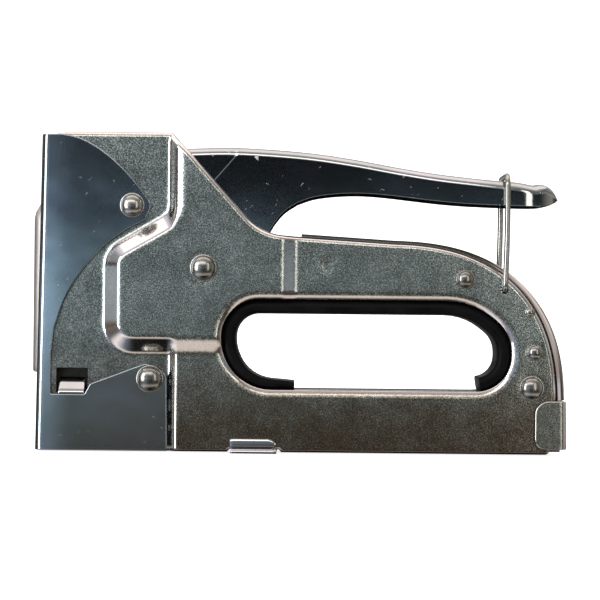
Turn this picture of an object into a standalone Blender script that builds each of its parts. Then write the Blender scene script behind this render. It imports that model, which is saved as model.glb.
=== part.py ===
"""Hand-squeezed staple gun: pressed-steel body, lever with a wire lock, striker and slide-out magazine.

X runs from the nose (-X) to the tail (+X), Z is up and the near side is -Y. Outlines are drawn in
X and Z, in millimetres, and every solid is a stack of such outlines along Y.
"""

import math

import bmesh
import bpy
from mathutils import Matrix, Vector

MM = 0.001
SHEET = 1.0  # thickness of the pressed steel
GAP = 0.3  # clearance between touching pieces
DEEP = 40.0  # half-length of a cutter that goes right through

# Half-widths of the body at its three pressed levels, from the middle plane to the outer face
NOSE_LEVEL = 7.3
GRIP_LEVEL = 9.4
HEAD_LEVEL = 11.2
COVER_LEVEL = NOSE_LEVEL + GAP + SHEET

# Body
BODY_BOTTOM = 0.45
HEAD_TOP = 96.6
COVER_TOP = 95.7
FRONT_FOOT = -79.3  # front face of the nose cover at the bottom
FRONT_LEAN = 1.4 / 96.0  # the front face leans back by this much per unit of height
GRIP_STEP_X = -38.9  # where the sides step from nose level out to grip level
HEAD_END_X = -0.7  # where the raised head panel runs down to the grip
BACK_CENTRE = (25.0, 13.3)  # the handle's back is a quarter of a superellipse about this point
BACK_SIZE = (52.9, 50.4)
BACK_POWER = 2.5
BACK_FOOT = 17.7
RIM_RADIUS = 2.0

# Lever
PIVOT = (-28.7, 55.7)
LEVER_HALF = 8.9
LEVER_NECK_HALF = 7.6
BORE_CLEARANCE = 0.09  # between the bushing and the rivet it turns on

# Wire lock
WIRE_PIVOT = (61.8, 50.0)
WIRE_RADIUS = 0.85
WIRE_REACH = 34.35  # from the pegs up to the middle of the crossbar
WIRE_LEG_Y = 10.6
WIRE_PEG_END = 7.6

# Rivets: x, z, half-width of what they clamp, shank radius, head radius, head height
RIVETS = {
    "rivet_nose_upper": (-50.4, 74.35, COVER_LEVEL, 2.2, 3.7, 1.9),
    "rivet_nose_lower": (-44.6, 22.2, COVER_LEVEL, 2.2, 3.8, 1.9),
    "rivet_lever_pivot": (*PIVOT, HEAD_LEVEL, 3.0, 3.8, 1.9),
    "rivet_grip_front": (50.0, 53.0, GRIP_LEVEL, 1.4, 2.2, 1.2),
    "rivet_grip_small": (69.5, 43.3, GRIP_LEVEL, 0.7, 1.2, 0.5),
    "rivet_grip_middle": (71.2, 31.2, GRIP_LEVEL, 1.2, 1.9, 1.0),
    "rivet_grip_rear": (70.3, 20.5, GRIP_LEVEL, 2.0, 3.2, 1.6),
}

# Striker and its spring
STRIKER_X = -68.6
BLADE_BACK = -75.4
BLADE_THICK = 1.2
PLUNGER_LOW, PLUNGER_HIGH = 40.0, 52.0
SPRING_RADIUS = 4.7
SPRING_WIRE = 0.9
SPRING_TURNS = 8
SEAT_LOW = 91.6

# Magazine
MAGAZINE_FRONT = -74.9
RAIL_HALF = 4.6
RAIL_TOP = 13.0
RAIL_END = 79.0
BASE_BOTTOM = 1.25
CHANNEL_HALF = 6.0
ROOF = 14.8
ROD_Z = 7.0
PUSHER_BACK = -64.0
CAP_BACK = 80.75


# ---------------------------------------------------------------- outlines


def arc_step(turn):
    """How many straight steps a round stretch takes."""
    return max(2, math.ceil(abs(turn) / math.radians(20)))


def filleted(corners):
    """A closed outline of (x, z) or (x, z, radius) corners, with an arc at each corner that has a radius."""
    points = []
    count = len(corners)
    for i, corner in enumerate(corners):
        here = Vector(corner[:2])
        radius = corner[2] if len(corner) > 2 else 0.0
        if not radius:
            points.append(here)
            continue
        before = (Vector(corners[i - 1][:2]) - here).normalized()
        after = (Vector(corners[(i + 1) % count][:2]) - here).normalized()
        half = before.angle(after) / 2
        centre = here + (before + after).normalized() * (radius / math.sin(half))
        start = here + before * (radius / math.tan(half)) - centre
        turn = start.angle_signed(here + after * (radius / math.tan(half)) - centre)
        for k in range(arc_step(turn) + 1):
            angle = -turn * k / arc_step(turn)
            points.append(centre + Matrix.Rotation(angle, 2) @ start)
    return [tuple(p) for p in points]


def smooth(points, steps=3):
    """A Catmull-Rom curve through open points, with a few steps between each pair."""
    run = [Vector(p) for p in points]
    padded = [run[0] * 2 - run[1], *run, run[-1] * 2 - run[-2]]
    made = []
    for a, b, c, d in zip(padded, padded[1:], padded[2:], padded[3:]):
        for k in range(steps):
            t = k / steps
            made.append(
                (
                    2 * b
                    + (c - a) * t
                    + (2 * a - 5 * b + 4 * c - d) * t**2
                    + (3 * b - a - 3 * c + d) * t**3
                )
                / 2
            )
    return [tuple(p) for p in [*made, run[-1]]]


def circle(x, z, radius, sides=16):
    return [
        (
            x + radius * math.cos(math.tau * k / sides),
            z + radius * math.sin(math.tau * k / sides),
        )
        for k in range(sides)
    ]


def box(x0, x1, z0, z1):
    return [(x0, z0), (x1, z0), (x1, z1), (x0, z1)]


def area(points):
    pairs = zip(points, points[1:] + points[:1])
    return sum(a[0] * b[1] - b[0] * a[1] for a, b in pairs) / 2


def offset(points, distance):
    """The closed outline moved outwards by distance, or inwards where it is negative."""
    if not distance:
        return points
    side = 1 if area(points) > 0 else -1
    moved = []
    for before, here, after in zip(points[-1:] + points[:-1], points, points[1:] + points[:1]):
        first = (Vector(here) - Vector(before)).normalized()
        second = (Vector(after) - Vector(here)).normalized()
        normal = (first + second).normalized()
        reach = distance / max(0.5, normal.dot(first))
        moved.append((here[0] + side * normal.y * reach, here[1] - side * normal.x * reach))
    return moved


def back_curve(grow=0.0, start=88.0, end=2.9, steps=13):
    """The back of the handle from the top round to the foot, moved outwards by grow."""
    run = []
    for k in range(steps):
        angle = math.radians(start + (end - start) * k / (steps - 1))
        across = math.cos(angle) ** (2 / BACK_POWER)
        up = math.sin(angle) ** (2 / BACK_POWER)
        run.append(
            (
                BACK_CENTRE[0] + (BACK_SIZE[0] + grow) * across,
                BACK_CENTRE[1] + (BACK_SIZE[1] + grow) * up,
            )
        )
    return run


def front_x(z):
    return FRONT_FOOT + FRONT_LEAN * z


# ---------------------------------------------------------------- solids


def material(name, colour, roughness, metallic):
    made = bpy.data.materials.new(name)
    made.use_nodes = True
    shader = made.node_tree.nodes["Principled BSDF"]
    shader.inputs["Base Color"].default_value = (*colour, 1.0)
    shader.inputs["Roughness"].default_value = roughness
    shader.inputs["Metallic"].default_value = metallic
    return made


def finished(name, mesh_builder, finish=None):
    """An object made of a bmesh drawn in millimetres, scaled to metres and facing out."""
    bmesh.ops.recalc_face_normals(mesh_builder, faces=mesh_builder.faces[:])
    bmesh.ops.scale(mesh_builder, vec=(MM, MM, MM), verts=mesh_builder.verts[:])
    mesh = bpy.data.meshes.new(name)
    mesh_builder.to_mesh(mesh)
    mesh_builder.free()
    made = bpy.data.objects.new(name, mesh)
    bpy.context.scene.collection.objects.link(made)
    if finish:
        mesh.materials.append(finish)
    return made


def stack(name, outline, rings, finish=None):
    """A solid whose cross-section is the outline, offset by each ring's amount at that ring's Y."""
    built = bmesh.new()
    loops = [
        [built.verts.new((x, y, z)) for x, z in offset(outline, grow)] for y, grow in rings
    ]
    built.faces.new(loops[0])
    built.faces.new(loops[-1])
    for low, high in zip(loops, loops[1:]):
        for i, corner in enumerate(low):
            built.faces.new((corner, low[i - 1], high[i - 1], high[i]))
    return finished(name, built, finish)


def slab(name, outline, y0, y1, finish=None):
    return stack(name, outline, [(y0, 0.0), (y1, 0.0)], finish)


def turned(name, profile, centre, finish=None, sides=16):
    """A round solid about an axis along Y, from a profile of (radius, y) that starts and ends on the axis."""
    built = bmesh.new()
    x, z = centre
    run = [built.verts.new((x + radius, y, z)) for radius, y in profile]
    edges = [built.edges.new(pair) for pair in zip(run, run[1:])]
    bmesh.ops.spin(
        built,
        geom=run + edges,
        cent=(x, 0, z),
        axis=(0, 1, 0),
        angle=math.tau,
        steps=sides,
        use_merge=True,
    )
    bmesh.ops.remove_doubles(built, verts=built.verts[:], dist=1e-4)
    return finished(name, built, finish)


def wire(name, path, radius, finish, sides=6):
    """A round wire along points in millimetres, with flat ends."""
    curve = bpy.data.curves.new(name, "CURVE")
    curve.dimensions = "3D"
    curve.bevel_depth = radius * MM
    curve.bevel_resolution = (sides - 4) // 2
    curve.use_fill_caps = True
    spline = curve.splines.new("POLY")
    spline.points.add(len(path) - 1)
    for point, place in zip(spline.points, path):
        point.co = (*(Vector(place) * MM), 1.0)
    curve.materials.append(finish)
    made = bpy.data.objects.new(name, curve)
    bpy.context.scene.collection.objects.link(made)
    return made


def combine(base, other, operation):
    """Joins, cuts or intersects base with other, and removes other."""
    modifier = base.modifiers.new(operation, "BOOLEAN")
    modifier.operation = operation
    modifier.object = other
    graph = bpy.context.evaluated_depsgraph_get()
    mesh = bpy.data.meshes.new_from_object(base.evaluated_get(graph))
    base.modifiers.clear()
    base.data = mesh
    bpy.data.objects.remove(other)
    return base


def join(base, *others):
    for other in others:
        combine(base, other, "UNION")
    return base


def cut(base, *others):
    for other in others:
        combine(base, other, "DIFFERENCE")
    return base


def mirrored(source, name):
    """A copy on the other side of the middle plane."""
    built = bmesh.new()
    built.from_mesh(source.data)
    bmesh.ops.scale(built, vec=(1, -1, 1), verts=built.verts[:])
    bmesh.ops.reverse_faces(built, faces=built.faces[:])
    mesh = bpy.data.meshes.new(name)
    built.to_mesh(mesh)
    built.free()
    for finish in source.data.materials:
        mesh.materials.append(finish)
    made = bpy.data.objects.new(name, mesh)
    bpy.context.scene.collection.objects.link(made)
    return made


def bolt_hole(x, z, radius, half=DEEP):
    return slab("hole", circle(x, z, radius), -half, half)


# ---------------------------------------------------------------- outlines of the body


def side_outline():
    """The whole side of the body: head, handle and magazine housing."""
    return filleted(
        [
            (-77.9, BODY_BOTTOM),
            (-76.5, COVER_TOP - 0.4),
            (-70.0, HEAD_TOP),
            (-38.6, HEAD_TOP),
            (-11.5, 66.1, 16.0),
            *back_curve(),
            (75.6, 1.9, 1.5),
            (73.6, BODY_BOTTOM, 1.0),
        ]
    )


def opening_outline():
    """The finger opening through the handle."""
    return filleted(
        [
            (-23.1, 46.4, 11.2),
            (-23.1, 19.4, 15.0),
            (64.0, 19.4, 10.5),
            (64.0, 37.0, 12.0),
            (52.0, 46.4, 22.0),
        ]
    )


def head_panel_outline():
    """Foot of the raised panel of the head, where it meets the nose level."""
    return filleted(
        [
            (-39.2, 120.0),
            (-39.3, 72.2, 5.0),
            (-58.7, 61.0, 8.0),
            (-58.7, 30.0, 9.0),
            (15.0, 30.0),
            (15.0, 120.0),
        ]
    )


def cover_outline():
    """The nose cover's wing, with its two rounded ears about the nose rivets."""
    upper = smooth(
        [(-71.6, 95.7), (-66.2, 94.5), (-60.2, 91.3), (-54.1, 86.3), (-49.4, 81.2), (-46.6, 77.6)]
    )
    lower = smooth(
        [(-46.6, 69.9), (-52.4, 66.8), (-58.4, 62.3), (-64.6, 55.5), (-70.2, 46.5), (-73.6, 36.9)]
    )
    return filleted(
        [
            (front_x(BODY_BOTTOM), BODY_BOTTOM),
            (front_x(COVER_TOP), COVER_TOP),
            *upper,
            (-44.3, 74.6, 3.0),
            *lower,
            (-74.5, 29.0),
            (-74.5, 17.4),
            (-64.3, 17.4),
            (-62.7, 20.5),
            (-45.8, 26.9, 2.0),
            (-39.6, 24.0, 3.0),
            (-39.25, BODY_BOTTOM),
        ]
    )


# ---------------------------------------------------------------- pieces of the body


def pressed_form(inset):
    """The body's outer form on the near side, or its hollow where inset is the sheet's thickness."""
    side = offset(side_outline(), -inset)
    middle = inset - GAP / 2 if not inset else 2.0
    form = slab("form", side, middle, inset - NOSE_LEVEL)
    grip = box(GRIP_STEP_X + inset, 120, -20, 120)
    grip_zone = stack(
        "grip_zone", grip, [(middle, 0.0), (inset - NOSE_LEVEL, 0.0), (inset - GRIP_LEVEL, -2.1)]
    )
    panel = stack(
        "panel",
        head_panel_outline(),
        [(middle, -0.6 * inset), (inset - NOSE_LEVEL, -0.6 * inset), (inset - HEAD_LEVEL, -4.4 - 0.6 * inset)],
    )
    shelf = stack(
        "shelf",
        box(GRIP_STEP_X + inset, HEAD_END_X, 29.8, 150),
        [
            (middle, -0.6 * inset),
            (inset - GRIP_LEVEL, -0.6 * inset),
            (inset - HEAD_LEVEL, -5.0 - 0.6 * inset),
        ],
    )
    combine(panel, slab("panel_end", box(-90, -9.5, -20, 200), 5, -DEEP), "INTERSECT")
    levels = join(grip_zone, panel, shelf)
    combine(levels, slab("side", side, middle + 1, -DEEP), "INTERSECT")
    return join(form, levels)


def opening_form(wall):
    """What the finger opening removes; wall leaves the metal of its rolled rim round it."""
    outer = NOSE_LEVEL + 0.1
    return stack(
        "opening",
        opening_outline(),
        [
            (6.0, wall),
            (-outer + wall, wall),
            (-GRIP_LEVEL + 0.5 + wall, RIM_RADIUS * 0.35 + wall),
            (-GRIP_LEVEL + wall, RIM_RADIUS + wall),
            (-HEAD_LEVEL - 1.0 + wall, RIM_RADIUS + 2.8 + wall),
        ],
    )


def body_shells(finish):
    near = cut(pressed_form(0.0), opening_form(0.0))
    hollow = cut(pressed_form(SHEET), opening_form(SHEET))
    cut(near, hollow)
    inner_nose, inner_grip = NOSE_LEVEL - SHEET, GRIP_LEVEL - SHEET
    lever_gate = [(-39.3, 95.6), (-16.5, 67.8), (-14.0, 64.3), (-4.4, 64.3), (-4.4, 75.0), (-30.0, 106.0)]
    cut(
        near,
        slab("open_front", box(-82, -74.5, -3, COVER_TOP - 2), 2, -inner_nose),
        slab("open_foot_nose", box(-82, GRIP_STEP_X + 1.5, -3, 2.6), 2, -inner_nose),
        slab("open_foot", box(GRIP_STEP_X + SHEET, 90, -3, 2.6), 2, -inner_grip),
        slab("open_rear", box(70.5, 90, -3, 16.6), 2, -inner_grip),
        slab("lever_gate", lever_gate, 2, -HEAD_LEVEL + SHEET),
        slab("liner_slot", offset(opening_outline(), 1.6), 2, -1.5),
        slab("window", box(-72.9, -63.4, 17.7, 25.3), 2, -DEEP),
        slab("strap_notch", box(-20.2, -5.9, -3, 1.2), 2, -DEEP),
        slab("wire_hole", circle(*WIRE_PIVOT, WIRE_RADIUS + GAP, 12), 2, -DEEP),
    )
    for x, z, _, shank, _, _ in RIVETS.values():
        cut(near, bolt_hole(x, z, shank + GAP))
    near.name = "shell_near"
    near.data.materials.clear()
    near.data.materials.append(finish)
    return near, mirrored(near, "shell_far")


def nose_cover(finish):
    """A U of sheet over the front, with a hollow rib down it and a hook through each window."""
    cover = slab("nose_cover", cover_outline(), -COVER_LEVEL, COVER_LEVEL, finish)
    rib = [(-76.0, 23.8), (-80.75, 23.8), (-80.75, 70.5), (-78.2, 75.5), (-76.0, 75.5)]
    join(cover, slab("rib", rib, -4.2, 4.2))
    back = NOSE_LEVEL + GAP
    front = [
        (front_x(0) + SHEET, -5),
        (front_x(100) + SHEET, 100),
        (-20, 100),
        (-20, -5),
    ]
    groove = [(-76.0, 23.0), (-79.75, 23.0), (-79.75, 69.5), (-77.2, 74.3), (-76.0, 74.3)]
    cut(cover, slab("inside", front, -back, back), slab("groove", groove, -3.2, 3.2))
    for side in (-1, 1):
        join(cover, window_hook(side))
    for name in ("rivet_nose_upper", "rivet_nose_lower"):
        x, z, _, shank, _, _ = RIVETS[name]
        cut(cover, bolt_hole(x, z, shank + GAP))
    return cover


def window_hook(side):
    """The tab that curls from the cover's edge in through the body's window: a quarter ring."""
    built = bmesh.new()
    outer, inner, foot = 3.6, 2.6, 17.0
    middle = COVER_LEVEL - outer
    section = [(middle + outer, foot)]
    for radius, turn in ((outer, 1), (inner, -1)):
        angles = [math.radians(90 * k / 4) for k in range(5)][::turn]
        section += [
            (middle + radius * math.cos(a), foot + 1.2 + radius * math.sin(a)) for a in angles
        ]
    section.append((middle + inner, foot))
    ends = [
        [built.verts.new((x, side * y, z)) for y, z in section] for x in (-72.1, -64.4)
    ]
    for loop in ends:
        built.faces.new(loop)
    for i in range(len(section)):
        built.faces.new((ends[0][i], ends[0][i - 1], ends[1][i - 1], ends[1][i]))
    return finished("window_hook", built)


def rivets(finish):
    made = []
    for name, (x, z, clamped, shank, head, height) in RIVETS.items():
        under = clamped + GAP
        dome = [
            (head * math.cos(math.radians(a)), under + 0.3 + (height - 0.3) * math.sin(math.radians(a)))
            for a in (0, 30, 60, 90)
        ]
        near = [(max(r, 0.0), -y) for r, y in reversed(dome)]
        near[0] = (0.0, -dome[-1][1])
        far = [*dome[:-1], (0.0, dome[-1][1])]
        profile = [*near, (head, -under), (shank, -under), (shank, under), (head, under), *far]
        made.append(turned(name, profile, (x, z), finish, sides=24 if shank == 3.0 else 14))
    return made


def spacers(finish):
    """Sleeves on three rivets that hold the two body halves apart."""
    made = []
    for name, rivet, half in (
        ("spacer_nose_upper", "rivet_nose_upper", NOSE_LEVEL - SHEET - GAP),
        ("spacer_nose_lower", "rivet_nose_lower", NOSE_LEVEL - SHEET - GAP),
        ("spacer_grip_rear", "rivet_grip_rear", GRIP_LEVEL - SHEET - GAP),
    ):
        x, z, _, shank, _, _ = RIVETS[rivet]
        sleeve = slab(name, circle(x, z, shank + GAP + SHEET, 12), -half, half, finish)
        made.append(cut(sleeve, slab("bore", circle(x, z, shank + GAP, 12), -DEEP, DEEP)))
    return made


def grip_liner(finish):
    """The black insert round the inside of the finger opening, open along the bottom."""
    opening = opening_outline()
    liner = stack(
        "grip_liner",
        opening,
        [(-8.2, -1.0), (-7.4, -GAP), (7.4, -GAP), (8.2, -1.0)],
        finish,
    )
    tongue = slab("tongue", offset(opening, 1.2), -1.2, 1.2)
    inside = stack("inside", opening, [(-9, -3.6), (-7.4, -4.2), (7.4, -4.2), (9, -3.6)])
    cut(join(liner, tongue), inside)
    gate = [(-1.4, 5.0), (-1.4, 30.0), (45.0, 30.0), (53.0, 21.6), (55.5, 19.0), (55.5, 5.0)]
    return cut(liner, slab("gate", gate, -DEEP, DEEP))


def grip_spine(finish):
    """The strip that closes the back of the handle over the two halves' flanges."""
    lead = (0.6, 65.4)
    inner = [(lead[0], lead[1] + GAP), *back_curve(GAP)]
    outer = [(lead[0], lead[1] + GAP + 1.2), *back_curve(GAP + 1.2)]
    return slab("grip_spine", inner + outer[::-1], -7.2, 7.2, finish)


def belly_strap(finish):
    """The clip that ties the two halves together under the magazine."""
    half = GRIP_LEVEL + GAP + 0.8
    strap = slab("belly_strap", box(-19.9, -6.2, 0.0, 4.6), -half, half, finish)
    inside = box(-25, 0, 0.8, 8)
    return cut(strap, slab("inside", inside, -GRIP_LEVEL - GAP, GRIP_LEVEL + GAP))


# ---------------------------------------------------------------- striker


def coil_path(centre, axis, across, radius, length, turns, steps):
    """Points of a helix that starts at centre and runs along axis."""
    side = axis.cross(across)
    return [
        centre
        + axis * (length * k / (turns * steps))
        + across * (radius * math.cos(math.tau * k / steps))
        + side * (radius * math.sin(math.tau * k / steps))
        for k in range(turns * steps + 1)
    ]


def striker_group(steel, blued, rubber):
    """The plunger that the lever lifts, its driver blade, power spring, seat, guide and buffer."""
    half = NOSE_LEVEL - SHEET - 0.4
    plunger = slab("plunger", box(-74.9, -62.2, PLUNGER_LOW, PLUNGER_HIGH), -half, half, steel)
    spigot = slab(
        "spigot", box(STRIKER_X - 2.6, STRIKER_X + 2.6, PLUNGER_HIGH - 1, PLUNGER_HIGH + 4), -2.6, 2.6
    )
    cut(join(plunger, spigot), slab("notch", box(-68.6, -60, 43.4, 48.2), -3.6, 3.6))
    blade = [
        (BLADE_BACK - BLADE_THICK, 0.8),
        (BLADE_BACK, 0.8),
        (BLADE_BACK, PLUNGER_HIGH),
        (BLADE_BACK - BLADE_THICK, PLUNGER_HIGH),
    ]
    slab("driver_blade", blade, -5.2, 5.2, steel)
    low, high = PLUNGER_HIGH + GAP + SPRING_WIRE, SEAT_LOW - GAP - SPRING_WIRE
    path = coil_path(
        Vector((STRIKER_X, 0, low)),
        Vector((0, 0, 1)),
        Vector((1, 0, 0)),
        SPRING_RADIUS,
        high - low,
        SPRING_TURNS,
        12,
    )
    wire("power_spring", path, SPRING_WIRE, blued)
    seat = slab("spring_seat", box(-74.4, -62.6, SEAT_LOW, 94.3), -half, half, steel)
    boss = box(STRIKER_X - 2.5, STRIKER_X + 2.5, SEAT_LOW - 6, SEAT_LOW + 1)
    join(seat, slab("boss", boss, -2.5, 2.5))
    slab("striker_buffer", box(-73.6, -62.4, 33.6, 39.6), -5.6, 5.6, rubber)
    guide = [(-75.1, 16.4), (-74.1, 16.4), (-74.1, 31.0), (-62.4, 32.2), (-62.4, 33.2), (-75.1, 33.2)]
    slab("blade_guide", guide, -half, half, steel)


# ---------------------------------------------------------------- lever


def lever_outline():
    """The lever's side, from the pivot in the head to the flared tail."""
    top = smooth(
        [(-35.6, 91.7), (-19.4, 92.1), (0.0, 91.0), (15.0, 89.1), (30.0, 86.3), (42.0, 84.2), (60.0, 82.4)],
        4,
    )
    tail = smooth([(69.0, 81.3), (71.4, 81.1), (73.6, 80.2), (75.6, 78.4), (77.2, 76.8)], 2)
    under = smooth(
        [(70.5, 75.3), (54.0, 75.7), (42.0, 76.5), (24.0, 78.4), (14.0, 78.6), (5.0, 77.6), (-0.6, 75.8)], 3
    )
    arch = smooth([(-4.5, 73.2), (-7.4, 69.9), (-9.4, 66.6)], 2)
    return filleted(
        [
            *top,
            *tail,
            (76.4, 76.0),
            *under,
            *arch,
            (-14.0, 58.0),
            (-18.0, 48.5, 7.0),
            (-37.5, 46.5, 8.0),
            (-36.0, 62.0),
        ]
    )


def lever_group(chrome, steel, blued):
    side = lever_outline()
    neck = [(-60, 42.3), (-19.0, 89.7), (-17.0, 92.0), (-17.0, 120.0), (-60, 120.0)]
    wide = slab("lever", side, -LEVER_HALF, LEVER_HALF, chrome)
    step = LEVER_HALF - LEVER_NECK_HALF
    for sign in (-1, 1):
        y0 = sign * LEVER_NECK_HALF
        cut(wide, stack("neck_cut", neck, [(y0, 0.0), (y0 + sign * step, step), (sign * DEEP, step)]))
    roof = offset(side, -SHEET)
    keep = [p for p in roof if p[1] > 78.9 and p[0] < 69.0] + [(69.0, 79.0), (69.0, 20.0), (-60.0, 20.0)]
    keep = [(-60.0, 90.7), *keep]
    hollow = slab("hollow", keep, -LEVER_NECK_HALF + SHEET, LEVER_NECK_HALF - SHEET)
    wide_keep = slab("wide_hollow", keep, -LEVER_HALF + SHEET, LEVER_HALF - SHEET)
    inner_neck = offset(neck, step + 0.3)
    for sign in (-1, 1):
        y0 = sign * (LEVER_NECK_HALF - SHEET)
        cut(wide_keep, slab("inner_neck", inner_neck, y0, sign * DEEP))
    cut(wide, join(hollow, wide_keep))
    cross = (-20.5, 62.5)
    cut(wide, bolt_hole(*PIVOT, 4.6), bolt_hole(*cross, 2.1))

    tongue = filleted(
        [
            (-66.4, 45.4),
            (-66.4, 47.8),
            (-61.0, 47.9, 8.0),
            (-48.0, 54.0, 10.0),
            (-34.0, 66.0, 8.0),
            (-16.5, 68.0, 5.0),
            (-19.0, 48.0, 8.0),
            (-36.0, 44.5, 8.0),
        ]
    )
    lifter = slab("lever_lifter", tongue, -3.0, 3.0, steel)
    cut(lifter, bolt_hole(*PIVOT, 4.6), bolt_hole(*cross, 2.1))

    bushing = slab("lever_bushing", circle(*PIVOT, 4.3, 24), -9.8, 9.8, steel)
    bore = circle(*PIVOT, RIVETS["rivet_lever_pivot"][3] + BORE_CLEARANCE, 24)
    cut(bushing, slab("bore", bore, -DEEP, DEEP))
    pin = [(0.0, -9.7), (2.6, -9.6), (2.6, -9.2), (1.8, -9.2), (1.8, 9.2), (2.6, 9.2), (2.6, 9.6), (0.0, 9.7)]
    turned("lever_cross_pin", pin, cross, steel, sides=12)
    torsion_spring(blued)


def torsion_spring(finish):
    """The lever's return spring: three turns about the bushing and two straight legs."""
    radius, turns = 5.7, 3
    start = Vector((PIVOT[0], 3.9, PIVOT[1]))
    coil = coil_path(start, Vector((0, 1, 0)), Vector((0, 0, -1)), radius, 3.2, turns, 12)
    first_leg = coil[0] + Vector((-9.0, 0, 0))
    last_leg = coil[-1] + Vector((9.0, 0, -1.0))
    wire("lever_spring", [first_leg, *coil, last_leg], 0.5, finish)


def lock_wire(finish):
    """The bail that swings up over the lever's tail: two pegs, two legs and a crossbar."""
    x, z = WIRE_PIVOT
    top = z + WIRE_REACH
    lean = 0.5
    corner_foot, corner_top = 1.6, 3.2

    def bend(centre, radius, start, end, steps=4):
        return [
            (
                radius * math.cos(math.radians(start + (end - start) * k / steps)) + centre[0],
                radius * math.sin(math.radians(start + (end - start) * k / steps)) + centre[1],
            )
            for k in range(steps + 1)
        ]

    half = [(WIRE_PEG_END, z)]
    half += bend((WIRE_LEG_Y - corner_foot, z + corner_foot), corner_foot, -90, 0)
    half += bend((WIRE_LEG_Y - corner_top, top - corner_top), corner_top, 0, 90)
    whole = [(-y, height) for y, height in half] + half[::-1]
    path = [(x + lean * (height - z) / WIRE_REACH, y, height) for y, height in whole]
    return wire("lock_wire", path, WIRE_RADIUS, finish, sides=8)


# ---------------------------------------------------------------- magazine


def magazine_group(steel, shell_steel, blued):
    """The fixed staple channel, and the drawer of rail, rod, spring, pusher and end cap."""
    channel_wall = CHANNEL_HALF + SHEET
    channel = slab("staple_channel", box(-36.8, 70.0, 3.0, ROOF + SHEET), -channel_wall, channel_wall, steel)
    cut(channel, slab("inside", box(-60, 90, 0, ROOF), -CHANNEL_HALF, CHANNEL_HALF))
    tongue = box(-74.0, -36.0, ROOF, ROOF + SHEET)
    join(channel, slab("roof_tongue", tongue, -CHANNEL_HALF, CHANNEL_HALF))

    base_top = BASE_BOTTOM + 0.8
    rail = slab("magazine_rail", box(MAGAZINE_FRONT, RAIL_END, BASE_BOTTOM, RAIL_TOP), -RAIL_HALF, RAIL_HALF, steel)
    base = slab("base", box(-36.6, RAIL_END, BASE_BOTTOM, base_top), -8.0, 8.0)
    inner = RAIL_HALF - 0.9
    cut(
        join(rail, base),
        slab("tube", box(-90, 90, base_top, RAIL_TOP - 0.9), -inner, inner),
        slab("slot", box(-73.0, 66.0, 8.0, 20.0), -1.5, 1.5),
    )

    saddle = slab("pusher", box(-74.6, PUSHER_BACK, 5.0, ROOF - 0.4), -5.7, 5.7, steel)
    cut(saddle, slab("astride", box(-80, -60, 0.0, RAIL_TOP + GAP), -RAIL_HALF - GAP, RAIL_HALF + GAP))
    block = slab("block", box(-72.4, -69.4, 4.0, 10.4), -2.9, 2.9)
    join(saddle, slab("neck", box(-72.4, -69.4, 9.6, RAIL_TOP + 0.8), -1.2, 1.2), block)
    rod_hole = circle(0.0, ROD_Z, 1.0, 8)
    cut(saddle, lengthwise("rod_hole", rod_hole, -80, -60, 1.5))

    rod = lengthwise("pusher_rod", rod_hole, -74.4, RAIL_END - GAP, 1.1)
    rod.data.materials.append(steel)
    spring = coil_path(
        Vector((-68.4, 0, ROD_Z)), Vector((1, 0, 0)), Vector((0, 0, 1)), 2.0, 144.0, 26, 8
    )
    wire("pusher_spring", spring, 0.35, blued)

    cheek = GRIP_LEVEL + GAP + SHEET
    outline = filleted(
        [(71.2, 2.1, 3.0), (CAP_BACK, 2.1), (CAP_BACK - 0.2, 16.6), (71.2, 16.6, 4.0)]
    )
    cap = slab("magazine_cap", outline, -cheek, cheek, shell_steel)
    inside = box(60, CAP_BACK - SHEET - 0.2, -5, 30)
    cut(cap, slab("inside", inside, -GRIP_LEVEL - GAP, GRIP_LEVEL + GAP))


def lengthwise(name, round_outline, x0, x1, radius):
    """A round bar along X at the rod's height; the outline gives its direction from the centre."""
    built = bmesh.new()
    loops = [
        [built.verts.new((x, y * radius, ROD_Z + (z - ROD_Z) * radius)) for y, z in round_outline]
        for x in (x0, x1)
    ]
    for loop in loops:
        built.faces.new(loop)
    for i in range(len(round_outline)):
        built.faces.new((loops[0][i], loops[0][i - 1], loops[1][i - 1], loops[1][i]))
    return finished(name, built)


# ---------------------------------------------------------------- assembly


def carry(joint, place, names):
    """Parents the named pieces to an empty that stands on their joint's axis."""
    axis = bpy.data.objects.new(joint, None)
    bpy.context.scene.collection.objects.link(axis)
    axis.location = Vector(place) * MM
    bpy.context.view_layer.update()
    for name in names:
        piece = bpy.data.objects[name]
        piece.parent = axis
        piece.matrix_parent_inverse = axis.matrix_world.inverted()


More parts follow.
